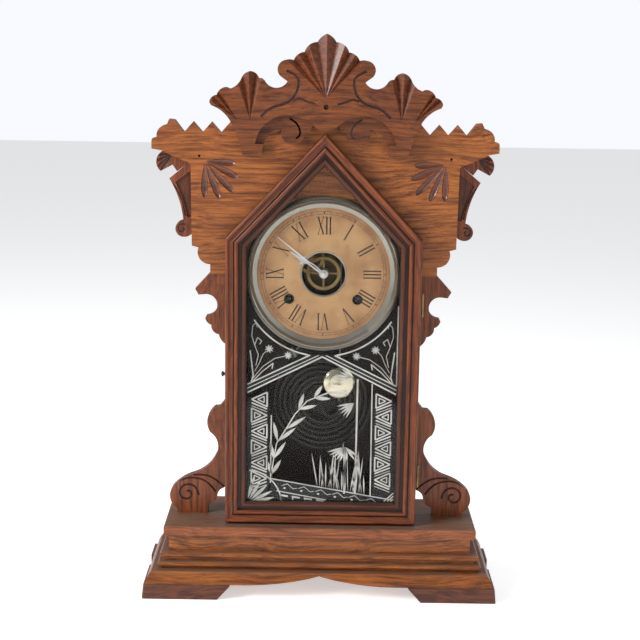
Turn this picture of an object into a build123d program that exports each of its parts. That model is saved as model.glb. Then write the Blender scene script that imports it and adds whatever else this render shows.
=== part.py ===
"""Oak gingerbread clock: fret-sawn and carved case, glazed door, dial, movement, pendulum and coil gong.

Millimetres, +Z up, the front of the clock faces -Y, and the origin is on the ground under the
middle of the base. Every height and every depth is worked out from the driving sizes below.
"""
from build123d import *
import os
from math import atan2, cos, degrees, dist, hypot, pi, radians, sin, sqrt

# Base
base_depth = 120.0           # front of the feet to the back of the case
base_top_half_width = 160.2  # half the width of the top board of the base
base_top_thickness = 9.7
base_height = 70.4           # ground to the top of the top board
foot_flare = 20.8            # how far the feet stand out beyond the top board
foot_height = 14.5
foot_inner_top = 91.0        # inner end of a front foot, from the middle, where it meets the skirt
foot_inner_bottom = 104.0    # the same at the ground
foot_arm_width = 24.0        # width of a foot seen from below
foot_arm_length = 58.0       # how far a front foot runs back along the side
rear_foot_length = 34.0
frieze_setback = 5.0         # frieze behind the front edge of the top board
base_board_thickness = 14.0  # inner face of the moulded boards, behind the top board's edge
frieze_bottom = 43.4
bead_radius = 2.45           # two half-round beads under the frieze
bead_1_nose = 3.7            # how far the upper bead stands in front of the top board
bead_2_nose = 6.1
bead_2_middle = 31.7         # height of the middle of the lower bead
skirt_top = 26.6
skirt_top_flare = 11.6
skirt_bottom_flare = 17.2
skirt_bulge = 1.0
scallop_cusp_height = 24.2   # middle of the scalloped lower edge of the skirt
scallop_half_width = 76.0
scallop_shoulder = (40.0, 16.9)
back_rail_thickness = 8.0

# Door
door_setback = 9.4           # door front behind the front edge of the base's top board
door_half_width = 98.0
door_base_gap = 2.0          # running gap between the door and the base
door_side_height = 295.3     # straight side of the door, from its lower edge
door_peak_rise = 104.0       # gable of the door, above the shoulders
door_thickness = 16.0
door_face_width = 21.5       # width of the moulded face of each frame member
door_gap = 1.2               # between the door and the headboard, filled by the hinge leaves
glass_depth = 8.0            # front of the glass above the back of the door
glass_thickness = 2.0
rebate_width = 6.0
glass_clearance = 0.3
bead_strip_width = 2.2       # strips that hold the glass from behind
bead_strip_thickness = 3.0

# Headboard, crest and side ornaments
headboard_thickness = 11.0
headboard_bottom = 329.0
headboard_waist = 114.2      # half width of the lowest part
headboard_neck = 132.6       # half width beside the leaf sprays
wing_half_width = 172.2
wing_bottom = 454.0
headboard_top_valley = 470.6
headboard_tooth_height = 10.4
headboard_tooth_pitch = 18.2
headboard_first_valley = 103.5
crest_thickness = 10.0
crest_step = 5.0             # depth of the lower level of the crest, under its arches
crest_peak = 567.9
bracket_thickness = 9.0
bracket_panel_depth = 2.0
fret_thickness = 10.0
fret_inner = 92.0

# Case
case_half_width = 92.0
case_board = 9.0
case_height = 439.0
back_board_thickness = 6.0
back_inset = 1.0             # back board inside the back edges of the sides
stile_outer = 97.0
stile_width = 19.0

# Hinges and knob
hinge_heights = (120.0, 300.0)
hinge_length = 24.0
hinge_leaf = 0.5
hinge_leaf_width = 16.0
hinge_offset = 2.2           # pin axis outside the edge of the door
knuckle_radius = 1.6
hinge_pin_radius = 0.7
knuckle_gap = 0.3
running_fit = 0.05           # radial clearance of pins and arbors in their holes
knob_height = 228.7
knob_radius = 3.0

# Dial and hands
dial_height = 331.0          # height of the middle of the dial
dial_opening = 74.0          # radius of the arch in the headboard
pan_radius = 78.5
pan_thickness = 0.6
paper_radius = 67.0
paper_thickness = 0.3
bezel_height = 5.9
centre_opening = 22.3
centre_ring_outer = 23.7
centre_ring_inner = 21.6
winding_hole_x = 34.5
winding_hole_drop = 26.0
winding_hole_radius = 4.2
grommet_radius = 5.2
grommet_thickness = 0.8
hand_thickness = 0.5
minute_hand_length = 56.8
minute_hand_angle = 312.5    # clockwise from twelve, as it stands at rest
hour_hand_length = 42.0
hour_hand_angle = 303.4
hand_cross_radius = 4.6      # flared cross on each hand
hand_notch_radius = 1.5
hand_notch_reach = 4.2
nut_radius = 2.4
nut_height = 1.7
arbor_tip = 1.3              # centre arbor in front of the minute hand
pipe_radius = 2.6            # pipe of the hour wheel, in the hour hand

# Movement
plate_half_width = 50.0
plate_above = 57.0           # top of the plates above the middle of the dial
plate_below = 64.0
plate_thickness = 1.6
plate_distance = 30.0        # clear distance between the plates
movement_block_depth = 10.0
movement_block_width = 12.0
pillar_radius = 3.0
arbor_radius = 1.2
pivot_radius = 0.7
centre_arbor_radius = 1.5
winding_arbor_radius = 2.4
winding_square = 3.2
tooth_above_pitch = 0.5      # tip and root of every tooth, as shares of the module
tooth_below_pitch = 1.0
great_teeth = 60
great_module = 0.9
second_pinion_leaves = 10
second_teeth = 48
second_module = 0.8
centre_pinion_leaves = 12
centre_teeth = 60
centre_module = 0.7
third_pinion_leaves = 6
third_teeth = 60
third_module = 0.6
escape_pinion_leaves = 6
escape_teeth = 44
escape_radius = 13.0
minute_teeth = 36
minute_module = 0.9
cannon_leaves = 12
hour_teeth = 48
hour_module = 0.72
minute_pinion_leaves = 12
mainspring_inner = 8.0
mainspring_outer = 26.0
mainspring_width = 20.0
ratchet_teeth = 24
ratchet_radius = 10.0
strike_teeth = 40
pillar_x = 44.0
pillar_heights = (-58.0, 50.0)
pillar_tenon = 1.6
end_shake = 0.1
wheel_rim = 2.4              # rim of a wheel inside its teeth
wheel_arm = 0.9              # half the width of a wheel's arm
wheel_hub = 4.0
escape_x = 18.0
minute_bearing = 134.0       # minute wheel from the middle, anticlockwise from the right
pallet_pitches = 8           # teeth spanned by the pallets
fork_rise = 14.0             # fork of the crutch above the middle of the dial
fork_half_width = 1.8
suspension_post_offset = 5.0

# Pendulum, hammer and gong
suspension_rise = 50.0       # suspension above the middle of the dial
pendulum_length = 166.4      # beats with 44 teeth that turn once in 36 seconds
pendulum_rod_radius = 0.7
bob_radius = 16.0
bob_thickness = 8.0
bob_flat = 2.0
pallet_gap = 0.3             # pallets above the tips of the escape wheel
gong_height = 185.0
gong_inner = 21.0            # radius where the coil starts
gong_pitch = 5.5
gong_half_turns = 12
gong_wire = 2.2
gong_post = 7.0
hammer_pivot = (4.0, -59.0)  # from the middle of the dial
hammer_reach = 61.0          # hammer head from the middle of the gong
hammer_bearing = 120.0       # direction of the hammer from the middle of the gong
gong_base_radius = 16.0
gong_base_thickness = 5.0

# Depths, from the front of the clock to the back
foot_front = -base_depth / 2
case_back = base_depth / 2
top_front = foot_front + foot_flare
door_front = top_front + door_setback
door_back = door_front + door_thickness
headboard_front = door_back + door_gap
headboard_back = headboard_front + headboard_thickness
crest_front = headboard_front - crest_thickness
fret_front = 4.7
board_front = case_back - back_inset - back_board_thickness
block_front = board_front - movement_block_depth
back_plate_front = block_front - plate_thickness
front_plate_back = back_plate_front - plate_distance
front_plate_front = front_plate_back - plate_thickness
pan_back = headboard_front
pan_front = pan_back - pan_thickness
paper_front = pan_front - paper_thickness
hour_hand_front = paper_front - 1.8
minute_hand_front = hour_hand_front - 1.4
great_front = front_plate_back + 1.6
ratchet_front = great_front + 2.0
mainspring_back = back_plate_front - 4.4
winding_square_back = 6.0
winding_square_front = pan_back + 1.2
cannon_front = -6.0
minute_wheel_back = -4.0
minute_pinion_front = -11.0
hour_wheel_front = -10.5
escape_front = 6.5
verge_stud_front = 5.0
crutch_depth = 4.5
fork_front = 0.8
pendulum_depth = 2.0
gong_depth = 40.0

# Heights of the door
door_bottom = base_height + door_base_gap
door_shoulder = door_bottom + door_side_height
door_peak = door_shoulder + door_peak_rise


def facing(depth):
    """A plane at one depth that looks to the front, with X to the right and Z up."""
    return Plane.XZ.offset(-depth)


def write(part, name):
    """Label a finished piece and write it to its file."""
    part.label = name
    export_step(part, f"parts/{name}.step")
    print(f"{name}: {len(part.solids())} solids, {part.volume:.0f} mm3")


os.makedirs("parts", exist_ok=True)


# Base: a top board over moulded boards that are mitred at the front corners
def base_section():
    """Half section of the moulding: (stand-out from the top board's edge, height)."""
    under_top = base_height - base_top_thickness
    inner = -base_board_thickness
    bead_1_middle = frieze_bottom - bead_radius
    bead_1_root = bead_1_nose - bead_radius
    bead_2_root = bead_2_nose - bead_radius
    quirk = bead_1_root - 2.0
    with BuildLine() as line:
        Polyline((inner, foot_height), (inner, under_top), (-frieze_setback, under_top),
                 (-frieze_setback, frieze_bottom), (bead_1_root, frieze_bottom))
        ThreePointArc((bead_1_root, frieze_bottom), (bead_1_nose, bead_1_middle),
                      (bead_1_root, bead_1_middle - bead_radius))
        Polyline((bead_1_root, bead_1_middle - bead_radius), (quirk, bead_1_middle - bead_radius),
                 (quirk, bead_2_middle + bead_radius), (bead_2_root, bead_2_middle + bead_radius))
        ThreePointArc((bead_2_root, bead_2_middle + bead_radius), (bead_2_nose, bead_2_middle),
                      (bead_2_root, bead_2_middle - bead_radius))
        Polyline((bead_2_root, bead_2_middle - bead_radius), (bead_2_root - 1.2, skirt_top),
                 (skirt_top_flare, skirt_top))
        middle = ((skirt_top_flare + skirt_bottom_flare) / 2 + skirt_bulge,
                  (skirt_top + foot_height) / 2 + skirt_bulge)
        ThreePointArc((skirt_top_flare, skirt_top), middle, (skirt_bottom_flare, foot_height))
        Line((skirt_bottom_flare, foot_height), (inner, foot_height))
    return line.line


section = base_section()
corner_mitre = Plane(origin=(base_top_half_width, top_front, 0), x_dir=(1, -1, 0), z_dir=(-1, -1, 0))

with BuildPart() as base_top_board:
    with BuildSketch(Plane.XY.offset(base_height - base_top_thickness)):
        with Locations((0, (top_front + case_back) / 2)):
            Rectangle(2 * base_top_half_width, case_back - top_front)
    extrude(amount=base_top_thickness)
    top_rim = base_top_board.edges().group_by(Axis.Z)[-1].sort_by(Axis.Y)[:-1]
    fillet(top_rim, radius=1.0)
write(base_top_board.part, "base_top_board")

with BuildPart() as base_front_moulding:
    reach = base_top_half_width + foot_flare
    # Section plane across the board: local x points to the front, local y up
    with BuildSketch(Plane(origin=(reach, top_front, 0), x_dir=(0, -1, 0), z_dir=(-1, 0, 0))):
        add(section)
        make_face()
    extrude(amount=2 * reach)
    split(bisect_by=corner_mitre, keep=Keep.TOP)
    split(bisect_by=Plane(origin=(-base_top_half_width, top_front, 0), x_dir=(1, 1, 0),
                          z_dir=(1, -1, 0)), keep=Keep.TOP)
    with BuildSketch(facing(case_back)) as scallop:
        with BuildLine():
            ThreePointArc((-scallop_half_width, foot_height), (-scallop_shoulder[0], scallop_shoulder[1]),
                          (0, scallop_cusp_height))
            ThreePointArc((0, scallop_cusp_height), scallop_shoulder, (scallop_half_width, foot_height))
            Polyline((scallop_half_width, foot_height), (scallop_half_width, 0),
                     (-scallop_half_width, 0), (-scallop_half_width, foot_height))
        make_face()
    extrude(amount=base_depth, mode=Mode.SUBTRACT)
write(base_front_moulding.part, "base_front_moulding")

with BuildPart() as base_right_moulding:
    with BuildSketch(Plane(origin=(base_top_half_width, case_back, 0), x_dir=(1, 0, 0), z_dir=(0, -1, 0))):
        add(section)
        make_face()
    extrude(amount=base_depth)
    split(bisect_by=corner_mitre, keep=Keep.BOTTOM)
write(base_right_moulding.part, "base_right_moulding")

with BuildPart() as base_left_moulding:
    mirror(base_right_moulding.part, about=Plane.YZ, mode=Mode.ADD)
write(base_left_moulding.part, "base_left_moulding")

with BuildPart() as base_back_rail:
    with BuildSketch(Plane.XY.offset(foot_height)):
        with Locations((0, case_back - back_rail_thickness / 2)):
            Rectangle(2 * (base_top_half_width - base_board_thickness), back_rail_thickness)
    extrude(amount=base_height - base_top_thickness - foot_height)
write(base_back_rail.part, "base_back_rail")


def front_foot(side):
    """L-shaped foot with a slanted inner end; side is 1 on the right and -1 on the left."""
    outer = base_top_half_width + foot_flare
    with BuildPart() as foot:
        with BuildSketch(facing(foot_front + foot_arm_length)):
            with BuildLine():
                Polyline((side * outer, 0), (side * (outer - 1.5), foot_height),
                         (side * foot_inner_top, foot_height), (side * foot_inner_bottom, 0), close=True)
            make_face()
        extrude(amount=foot_arm_length)
        with BuildSketch(Plane.XY) as hollow:
            inner = outer - foot_arm_width
            with Locations((side * inner / 2, foot_front + foot_arm_width + foot_arm_length / 2)):
                Rectangle(inner, foot_arm_length)
        extrude(amount=foot_height, mode=Mode.SUBTRACT)
        corner = foot.edges().filter_by(lambda edge: abs(edge.center().Y - foot_front) < 0.1
                                        and abs(edge.center().X) > outer - 2)
        fillet(corner, radius=2.5)
    return foot.part


write(front_foot(-1), "foot_front_left")
write(front_foot(1), "foot_front_right")

with BuildPart() as feet_rear:
    for side in (-1, 1):
        outer = base_top_half_width + foot_flare
        with BuildSketch(Plane.XY):
            with Locations((side * (outer - foot_arm_width / 2), case_back - rear_foot_length / 2)):
                Rectangle(foot_arm_width, rear_foot_length)
        extrude(amount=foot_height)
write(feet_rear.part, "feet_rear")


# Case: two sides, a roof and a back board, with two stiles in front that carry the door
with BuildPart() as case_left_side:
    with BuildSketch(Plane.XY.offset(base_height)):
        with Locations((-case_half_width + case_board / 2, (headboard_back + case_back) / 2)):
            Rectangle(case_board, case_back - headboard_back)
    extrude(amount=case_height - case_board - base_height)
write(case_left_side.part, "case_left_side")

with BuildPart() as case_right_side:
    mirror(case_left_side.part, about=Plane.YZ, mode=Mode.ADD)
write(case_right_side.part, "case_right_side")

with BuildPart() as case_roof:
    with BuildSketch(Plane.XY.offset(case_height - case_board)):
        with Locations((0, (headboard_back + case_back) / 2)):
            Rectangle(2 * case_half_width, case_back - headboard_back)
    extrude(amount=case_board)
write(case_roof.part, "case_roof")

with BuildPart() as back_board:
    with BuildSketch(facing(board_front + back_board_thickness)):
        with Locations((0, (base_height + case_height - case_board) / 2)):
            Rectangle(2 * (case_half_width - case_board), case_height - case_board - base_height)
    extrude(amount=back_board_thickness)
write(back_board.part, "back_board")

with BuildPart() as front_stiles:
    for side in (-1, 1):
        with BuildSketch(facing(headboard_back)):
            with Locations((side * (stile_outer - stile_width / 2), (base_height + headboard_bottom) / 2)):
                Rectangle(stile_width, headboard_bottom - base_height)
        extrude(amount=headboard_thickness)
write(front_stiles.part, "front_stiles")

block_x = plate_half_width - movement_block_width / 2
with BuildPart() as movement_blocks:
    for side in (-1, 1):
        with BuildSketch(facing(board_front)):
            with Locations((side * block_x, dial_height + (plate_above - plate_below) / 2)):
                Rectangle(movement_block_width, plate_above + plate_below + 16)
        extrude(amount=movement_block_depth)
write(movement_blocks.part, "movement_blocks")


# Headboard: one wide fret-sawn board with toothed wings and an arch for the dial
def headboard_half():
    """Right half of the outline, from the top middle round to the bottom."""
    first = headboard_first_valley
    valley = headboard_top_valley
    pitch = headboard_tooth_pitch
    peak = valley + headboard_tooth_height
    behind_crest = 88.0
    crest_cover = 503.0
    end_tooth = first + 2.5 * pitch
    with BuildLine() as line:
        Polyline((0, headboard_bottom), (0, crest_cover), (behind_crest, crest_cover),
                 (first - pitch / 2, peak), (first, valley), (first + pitch / 2, peak),
                 (first + pitch, valley), (first + 1.5 * pitch, peak), (first + 2 * pitch, valley),
                 (end_tooth, peak + 1.5), (end_tooth + 5.5, peak + 2.2), (end_tooth + 8, valley + 7))
        ThreePointArc((end_tooth + 8, valley + 7), (end_tooth + 15.4, valley + 3.6),
                      (end_tooth + 18.0, valley - 5.2))
        Polyline((end_tooth + 18.0, valley - 5.2), (wing_half_width - 0.6, valley - 6.6),
                 (wing_half_width, valley - 9), (wing_half_width, wing_bottom),
                 (wing_half_width - 10.3, wing_bottom - 1.8))
        ThreePointArc((wing_half_width - 10.3, wing_bottom - 1.8), (148.0, 445.5),
                      (headboard_neck + 2.6, 440.6))
        Polyline((headboard_neck + 2.6, 440.6), (headboard_neck + 1, 438.6), (headboard_neck, 357.6),
                 (headboard_neck - 6.6, 355.9))
        ThreePointArc((headboard_neck - 6.6, 355.9), (headboard_waist + 10.2, 344.0),
                      (headboard_waist, 339.0))
        Polyline((headboard_waist, 339.0), (headboard_waist, 331.0), (headboard_waist - 1.4, headboard_bottom),
                 (0, headboard_bottom))
    return line.line


with BuildPart() as headboard:
    with BuildSketch(facing(headboard_back)):
        add(headboard_half())
        make_face()
        mirror(about=Plane.YZ)
        with Locations((0, dial_height)):
            Circle(dial_opening, mode=Mode.SUBTRACT)
        with Locations((0, headboard_bottom)):
            Rectangle(2 * dial_opening, 2 * (dial_height - headboard_bottom), mode=Mode.SUBTRACT)
    extrude(amount=headboard_thickness)
    # Nail holes beside the leaf sprays
    with Locations(facing(headboard_front)):
        with Locations((-125, 447.6), (125, 447.6)):
            Hole(radius=1.3, depth=headboard_thickness / 2)
write(headboard.part, "headboard")


# Crest: a carved board of three pleated palmettes over two arches with curled tails
def crest_half():
    """Right half of the crest's outline with the lower level under the arch."""
    with BuildLine() as line:
        Line((0, 474.6), (0, crest_peak))
        ThreePointArc((0, crest_peak), (5.5, 564.6), (9.3, 559.8))
        ThreePointArc((9.3, 559.8), (17.0, 557.2), (21.7, 550.2))
        ThreePointArc((21.7, 550.2), (28.3, 547.6), (32.2, 542.2))
        ThreePointArc((32.2, 542.2), (36.0, 542.9), (39.6, 542.4))
        ThreePointArc((39.6, 542.4), (47.7, 532.6), (44.7, 526.6))
        Line((44.7, 526.6), (38.0, 521.9))
        ThreePointArc((38.0, 521.9), (48.6, 515.2), (60.5, 522.2))
        Polyline((60.5, 522.2), (62.8, 524.2), (66.2, 524.6))
        ThreePointArc((66.2, 524.6), (69.6, 529.3), (75.0, 531.0))
        ThreePointArc((75.0, 531.0), (80.4, 528.2), (83.6, 522.9))
        ThreePointArc((83.6, 522.9), (88.0, 517.2), (94.4, 513.9))
        ThreePointArc((94.4, 513.9), (98.4, 515.3), (102.2, 514.2))
        ThreePointArc((102.2, 514.2), (105.6, 511.2), (107.2, 507.6))
        ThreePointArc((107.2, 507.6), (112.6, 505.0), (114.1, 500.6))
        Line((114.1, 500.6), (112.4, 497.8))
        ThreePointArc((112.4, 497.8), (102.2, 492.4), (94.4, 483.9))
        ThreePointArc((94.4, 483.9), (86.8, 468.0), (81.4, 449.6))
        Polyline((81.4, 449.6), (62.8, 449.6), (61.2, 460.4))
        ThreePointArc((61.2, 460.4), (54.6, 471.4), (43.4, 475.6))
        ThreePointArc((43.4, 475.6), (30.2, 460.2), (20.4, 471.6))
        Polyline((20.4, 471.6), (14.7, 473.0), (12.9, 480.0))
        ThreePointArc((12.9, 480.0), (6.6, 475.8), (0, 474.6))
    return line.line


def crest_lower_level():
    """The part of the crest, right half, that is stepped back under the arch."""
    with BuildLine() as line:
        ThreePointArc((69.2, 460.8), (54.4, 484.2), (40.7, 488.9))
        ThreePointArc((40.7, 488.9), (26.0, 486.9), (12.9, 480.0))
        Polyline((12.9, 480.0), (12.0, 474.0), (20.0, 455.0), (56.0, 455.0), (60.0, 460.8), (69.2, 460.8))
    return line.line


def flute(centre, near, far, depth, reach):
    """A pleat cut into the crest: a V that runs from a point out between two bearings."""
    near_x = centre[0] + reach * sin(radians(near))
    near_z = centre[1] + reach * cos(radians(near))
    far_x = centre[0] + reach * sin(radians(far))
    far_z = centre[1] + reach * cos(radians(far))
    across = Vector(far_x - near_x, 0, far_z - near_z)
    mouth = Plane(origin=(near_x, crest_front, near_z), x_dir=across, z_dir=across.cross(Vector(0, 1, 0)))
    with BuildPart() as pleat:
        with BuildSketch(mouth) as triangle:
            with BuildLine():
                Polyline((0, 0), (across.length, 0), (across.length / 2, depth), close=True)
            make_face()
        loft(sections=[triangle.sketch.face(), Vertex(centre[0], crest_front, centre[1])])
    return pleat.part


centre_fan = (0.0, 506.0)
side_fan = (74.2, 483.0)
stem_fan = (86.5, 483.6)
flutes = []
for side in (-1, 1):
    # Middle palmette: three pleats each side of the central ridge
    for near, far, depth, reach in ((0, 19, 3.6, 80), (19, 33.5, 3.4, 62), (33.5, 47, 2.6, 54)):
        flutes.append(flute(centre_fan, side * near, side * far, depth, reach))
    # Side palmettes: a raised ridge between two deep valleys, and two pleats over the stem
    for near, far, depth, reach in ((-14.5, 2.0, 3.2, 62), (2.0, 18.5, 3.2, 62)):
        flutes.append(flute((side * side_fan[0], side_fan[1]), side * near, side * far, depth, reach))
    for near, far, depth, reach in ((30.0, 42.0, 3.0, 48), (42.0, 55.0, 3.0, 46)):
        flutes.append(flute((side * stem_fan[0], stem_fan[1]), side * near, side * far, depth, reach))

with BuildPart() as crest_board:
    with BuildSketch(facing(headboard_front)):
        add(crest_half())
        make_face()
        mirror(about=Plane.YZ)
    extrude(amount=crest_thickness)
    with BuildSketch(facing(crest_front + crest_step)):
        add(crest_lower_level())
        make_face()
        mirror(about=Plane.YZ)
    extrude(amount=crest_step, mode=Mode.SUBTRACT)
    for pleat in flutes:
        add(pleat, mode=Mode.SUBTRACT)
write(crest_board.part, "crest_board")


# Corner brackets: scrolls with a small fan, under the wings and behind the headboard
def corner_bracket(side):
    """Bracket with a fan at its top, a hollow outer edge and a small volute at its foot."""
    def at(x, z):
        return (side * x, z)

    with BuildPart() as bracket:
        with BuildSketch(facing(headboard_back + bracket_thickness)):
            with BuildLine():
                Polyline(at(134.4, 367.4), at(112, 366), at(112, 451), at(162.5, 451))
                ThreePointArc(at(162.5, 451), at(168.9, 440.2), at(164.6, 430.9))
                Polyline(at(164.6, 430.9), at(152.5, 437.3), at(148.0, 430.8), at(137.4, 439.0),
                         at(155.9, 423.6))
                ThreePointArc(at(155.9, 423.6), at(146.4, 403.0), at(142.0, 381.5))
                ThreePointArc(at(142.0, 381.5), at(150.0, 374.4), at(142.4, 364.8))
                ThreePointArc(at(142.4, 364.8), at(138.2, 365.2), at(134.4, 367.4))
            make_face()
        extrude(amount=bracket_thickness)
        # Sunk panel inside the hollow edge
        with BuildSketch(facing(headboard_back + bracket_panel_depth)):
            with BuildLine():
                Line(at(134.0, 432.0), at(150.0, 420.0))
                ThreePointArc(at(150.0, 420.0), at(142.4, 403.0), at(138.4, 385.0))
                Polyline(at(138.4, 385.0), at(134.0, 385.0), at(134.0, 432.0))
            make_face()
        extrude(amount=bracket_panel_depth, mode=Mode.SUBTRACT)
    return bracket.part


write(corner_bracket(-1), "corner_bracket_left")
write(corner_bracket(1), "corner_bracket_right")


# Side frets: one fret-sawn board on each side of the case, a bracket above and a scroll foot below
def side_fret(side):
    """Outline from the top of the inner edge down to the scroll foot and up the outer edge."""
    def at(x, z):
        return (side * x, z)

    with BuildPart() as fret:
        with BuildSketch(facing(fret_front + fret_thickness)):
            with BuildLine():
                Polyline(at(fret_inner, 345), at(fret_inner, 104), at(101.4, 98.5))
                ThreePointArc(at(101.4, 98.5), at(106.6, 94.6), at(108.4, 89.0))
                ThreePointArc(at(108.4, 89.0), at(111.4, 83.2), at(117.9, 80.2))
                Polyline(at(117.9, 80.2), at(117.9, base_height), at(149.6, base_height), at(150.4, 75.0))
                ThreePointArc(at(150.4, 75.0), at(158.2, 88.4), at(152.0, 102.0))
                ThreePointArc(at(152.0, 102.0), at(143.6, 108.4), at(133.0, 113.2))
                ThreePointArc(at(133.0, 113.2), at(119.8, 120.6), at(110.8, 132.4))
                ThreePointArc(at(110.8, 132.4), at(107.6, 146.4), at(115.6, 158.8))
                ThreePointArc(at(115.6, 158.8), at(118.7, 172.2), at(110.6, 186.0))
                Line(at(110.6, 186.0), at(105.8, 186.4))
                ThreePointArc(at(105.8, 186.4), at(102.4, 190.6), at(98.4, 196.0))
                Line(at(98.4, 196.0), at(98.4, 252.4))
                ThreePointArc(at(98.4, 252.4), at(104.2, 257.4), at(106.8, 263.4))
                ThreePointArc(at(106.8, 263.4), at(112.2, 266.2), at(114.4, 273.1))
                ThreePointArc(at(114.4, 273.1), at(118.6, 275.8), at(120.7, 280.2))
                Line(at(120.7, 280.2), at(119.3, 282.6))
                ThreePointArc(at(119.3, 282.6), at(108.3, 294.1), at(120.6, 305.2))
                Polyline(at(120.6, 305.2), at(127.5, 304.5), at(130.9, 310.6), at(112.0, 331.4),
                         at(112.0, 345), at(fret_inner, 345))
            make_face()
        extrude(amount=fret_thickness)
    return fret.part


write(side_fret(-1), "side_fret_left")
write(side_fret(1), "side_fret_right")


# Door: five moulded members with mitred corners round a pane of glass
door_corners = [(-door_half_width, door_shoulder), (-door_half_width, door_bottom),
                (door_half_width, door_bottom), (door_half_width, door_shoulder), (0.0, door_peak)]
door_names = ["door_left_stile", "door_bottom_rail", "door_right_stile", "door_right_rafter",
              "door_left_rafter"]


def door_direction(index):
    """Unit vector along one side of the door, with the sides taken anticlockwise."""
    start, end = door_corners[index % 5], door_corners[(index + 1) % 5]
    return Vector(end[0] - start[0], 0, end[1] - start[1]).normalized()


def door_member(index, profile):
    """Run a closed profile along one side of the door and cut both ends to the mitres."""
    start, end = door_corners[index], door_corners[(index + 1) % 5]
    along = door_direction(index)
    inward = along.cross(Vector(0, 1, 0))
    length = hypot(end[0] - start[0], end[1] - start[1])
    spare = 2 * door_face_width
    origin = Vector(start[0], door_back, start[1]) - along * spare
    with BuildPart() as member:
        with BuildSketch(Plane(origin=origin, x_dir=inward, z_dir=along)):
            add(profile)
            make_face()
        extrude(amount=length + 2 * spare)
        split(bisect_by=Plane(origin=(start[0], door_back, start[1]), x_dir=(0, 1, 0),
                              z_dir=along + door_direction(index - 1)), keep=Keep.TOP)
        split(bisect_by=Plane(origin=(end[0], door_back, end[1]), x_dir=(0, 1, 0),
                              z_dir=along + door_direction(index + 1)), keep=Keep.BOTTOM)
    return member.part


def door_profile():
    """Moulding of the door frame: (inward from the outer edge, forward from the back)."""
    face = door_thickness
    width = door_face_width
    with BuildLine() as line:
        Line((0, 0), (0, face - 1.4))
        ThreePointArc((0, face - 1.4), (1.8, face), (3.6, face - 1.2))
        ThreePointArc((3.6, face - 1.2), (5.6, face - 2.3), (7.6, face - 1.9))
        Polyline((7.6, face - 1.9), (7.8, face - 3.6), (9.0, face - 3.6), (9.0, face - 1.4))
        ThreePointArc((9.0, face - 1.4), (10.9, face - 0.3), (12.8, face - 1.4))
        Polyline((12.8, face - 1.4), (13.2, face - 5.0), (16.4, face - 5.0), (16.8, face - 3.6))
        ThreePointArc((16.8, face - 3.6), (20.0, face - 3.8), (width, face - 6.4))
        Polyline((width, face - 6.4), (width, glass_depth), (width - rebate_width, glass_depth),
                 (width - rebate_width, 0), (0, 0))
    return line.line


def rectangle_profile(near, far, low, high):
    """A plain rectangular section between two distances inward and two heights."""
    with BuildLine() as line:
        Polyline((near, low), (far, low), (far, high), (near, high), (near, low))
    return line.line


for index, name in enumerate(door_names):
    write(door_member(index, door_profile()), name)

with BuildPart() as door_outline:
    with BuildSketch(facing(door_back)) as pentagon:
        with BuildLine():
            Polyline(*door_corners, close=True)
        make_face()
        offset(amount=rebate_width - door_face_width - glass_clearance, kind=Kind.INTERSECTION,
               mode=Mode.REPLACE)

with BuildPart() as door_glass:
    with BuildSketch(facing(door_back - glass_depth + glass_thickness)):
        add(pentagon.sketch_local)
    extrude(amount=glass_thickness)
write(door_glass.part, "door_glass")

strip_outer = door_face_width - rebate_width
strip_back = glass_depth - glass_thickness - bead_strip_thickness
glass_strips = [door_member(index, rectangle_profile(strip_outer, strip_outer + bead_strip_width,
                                                     strip_back, strip_back + bead_strip_thickness))
                for index in range(5)]
with BuildPart() as glass_beads:
    for strip in glass_strips:
        add(strip)
write(glass_beads.part, "glass_beads")


# Hinges: two brass butt hinges on the right edge, with a fixed pin in the outer knuckles
hinge_x = door_half_width + hinge_offset
hinge_y = (door_back + headboard_front) / 2
hinge_edge = hinge_x - knuckle_radius - 0.3
knuckle_length = hinge_length / 3 - knuckle_gap


def upright(radius, middle, length):
    """A round bar on the hinge axis."""
    with BuildPart() as bar:
        with BuildSketch(Plane.XY.offset(middle - length / 2)):
            with Locations((hinge_x, hinge_y)):
                Circle(radius)
        extrude(amount=length)
    return bar.part


def hinge_plate(back, left, right, middle, length):
    """A flat piece of hinge metal between two distances from the middle of the clock."""
    with BuildPart() as flat:
        with BuildSketch(facing(back)):
            with Locations(((left + right) / 2, middle)):
                Rectangle(right - left, length)
        extrude(amount=hinge_leaf)
    return flat.part


def hinge_half(back, places):
    """A leaf with the knuckles that stand at some of the three places of each hinge."""
    pieces = []
    for height in hinge_heights:
        pieces.append(hinge_plate(back, hinge_edge - hinge_leaf_width, hinge_edge, height, hinge_length))
        for place in places:
            middle = height + place * hinge_length / 3
            pieces.append(hinge_plate(back, hinge_edge - 1, hinge_x, middle, knuckle_length))
            pieces.append(upright(knuckle_radius, middle, knuckle_length))
    return pieces


case_half = hinge_half(headboard_front, (-1, 1))
pins = [upright(hinge_pin_radius, height, hinge_length) for height in hinge_heights]
with BuildPart() as hinge_case_leaves:
    add(case_half)
    add(pins)
write(hinge_case_leaves.part, "hinge_case_leaves")

door_half = hinge_half(door_back + hinge_leaf, (0,))
bores = [upright(hinge_pin_radius + running_fit, height, hinge_length) for height in hinge_heights]
with BuildPart() as hinge_door_leaves:
    add(door_half)
    add(bores, mode=Mode.SUBTRACT)
write(hinge_door_leaves.part, "hinge_door_leaves")

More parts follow.
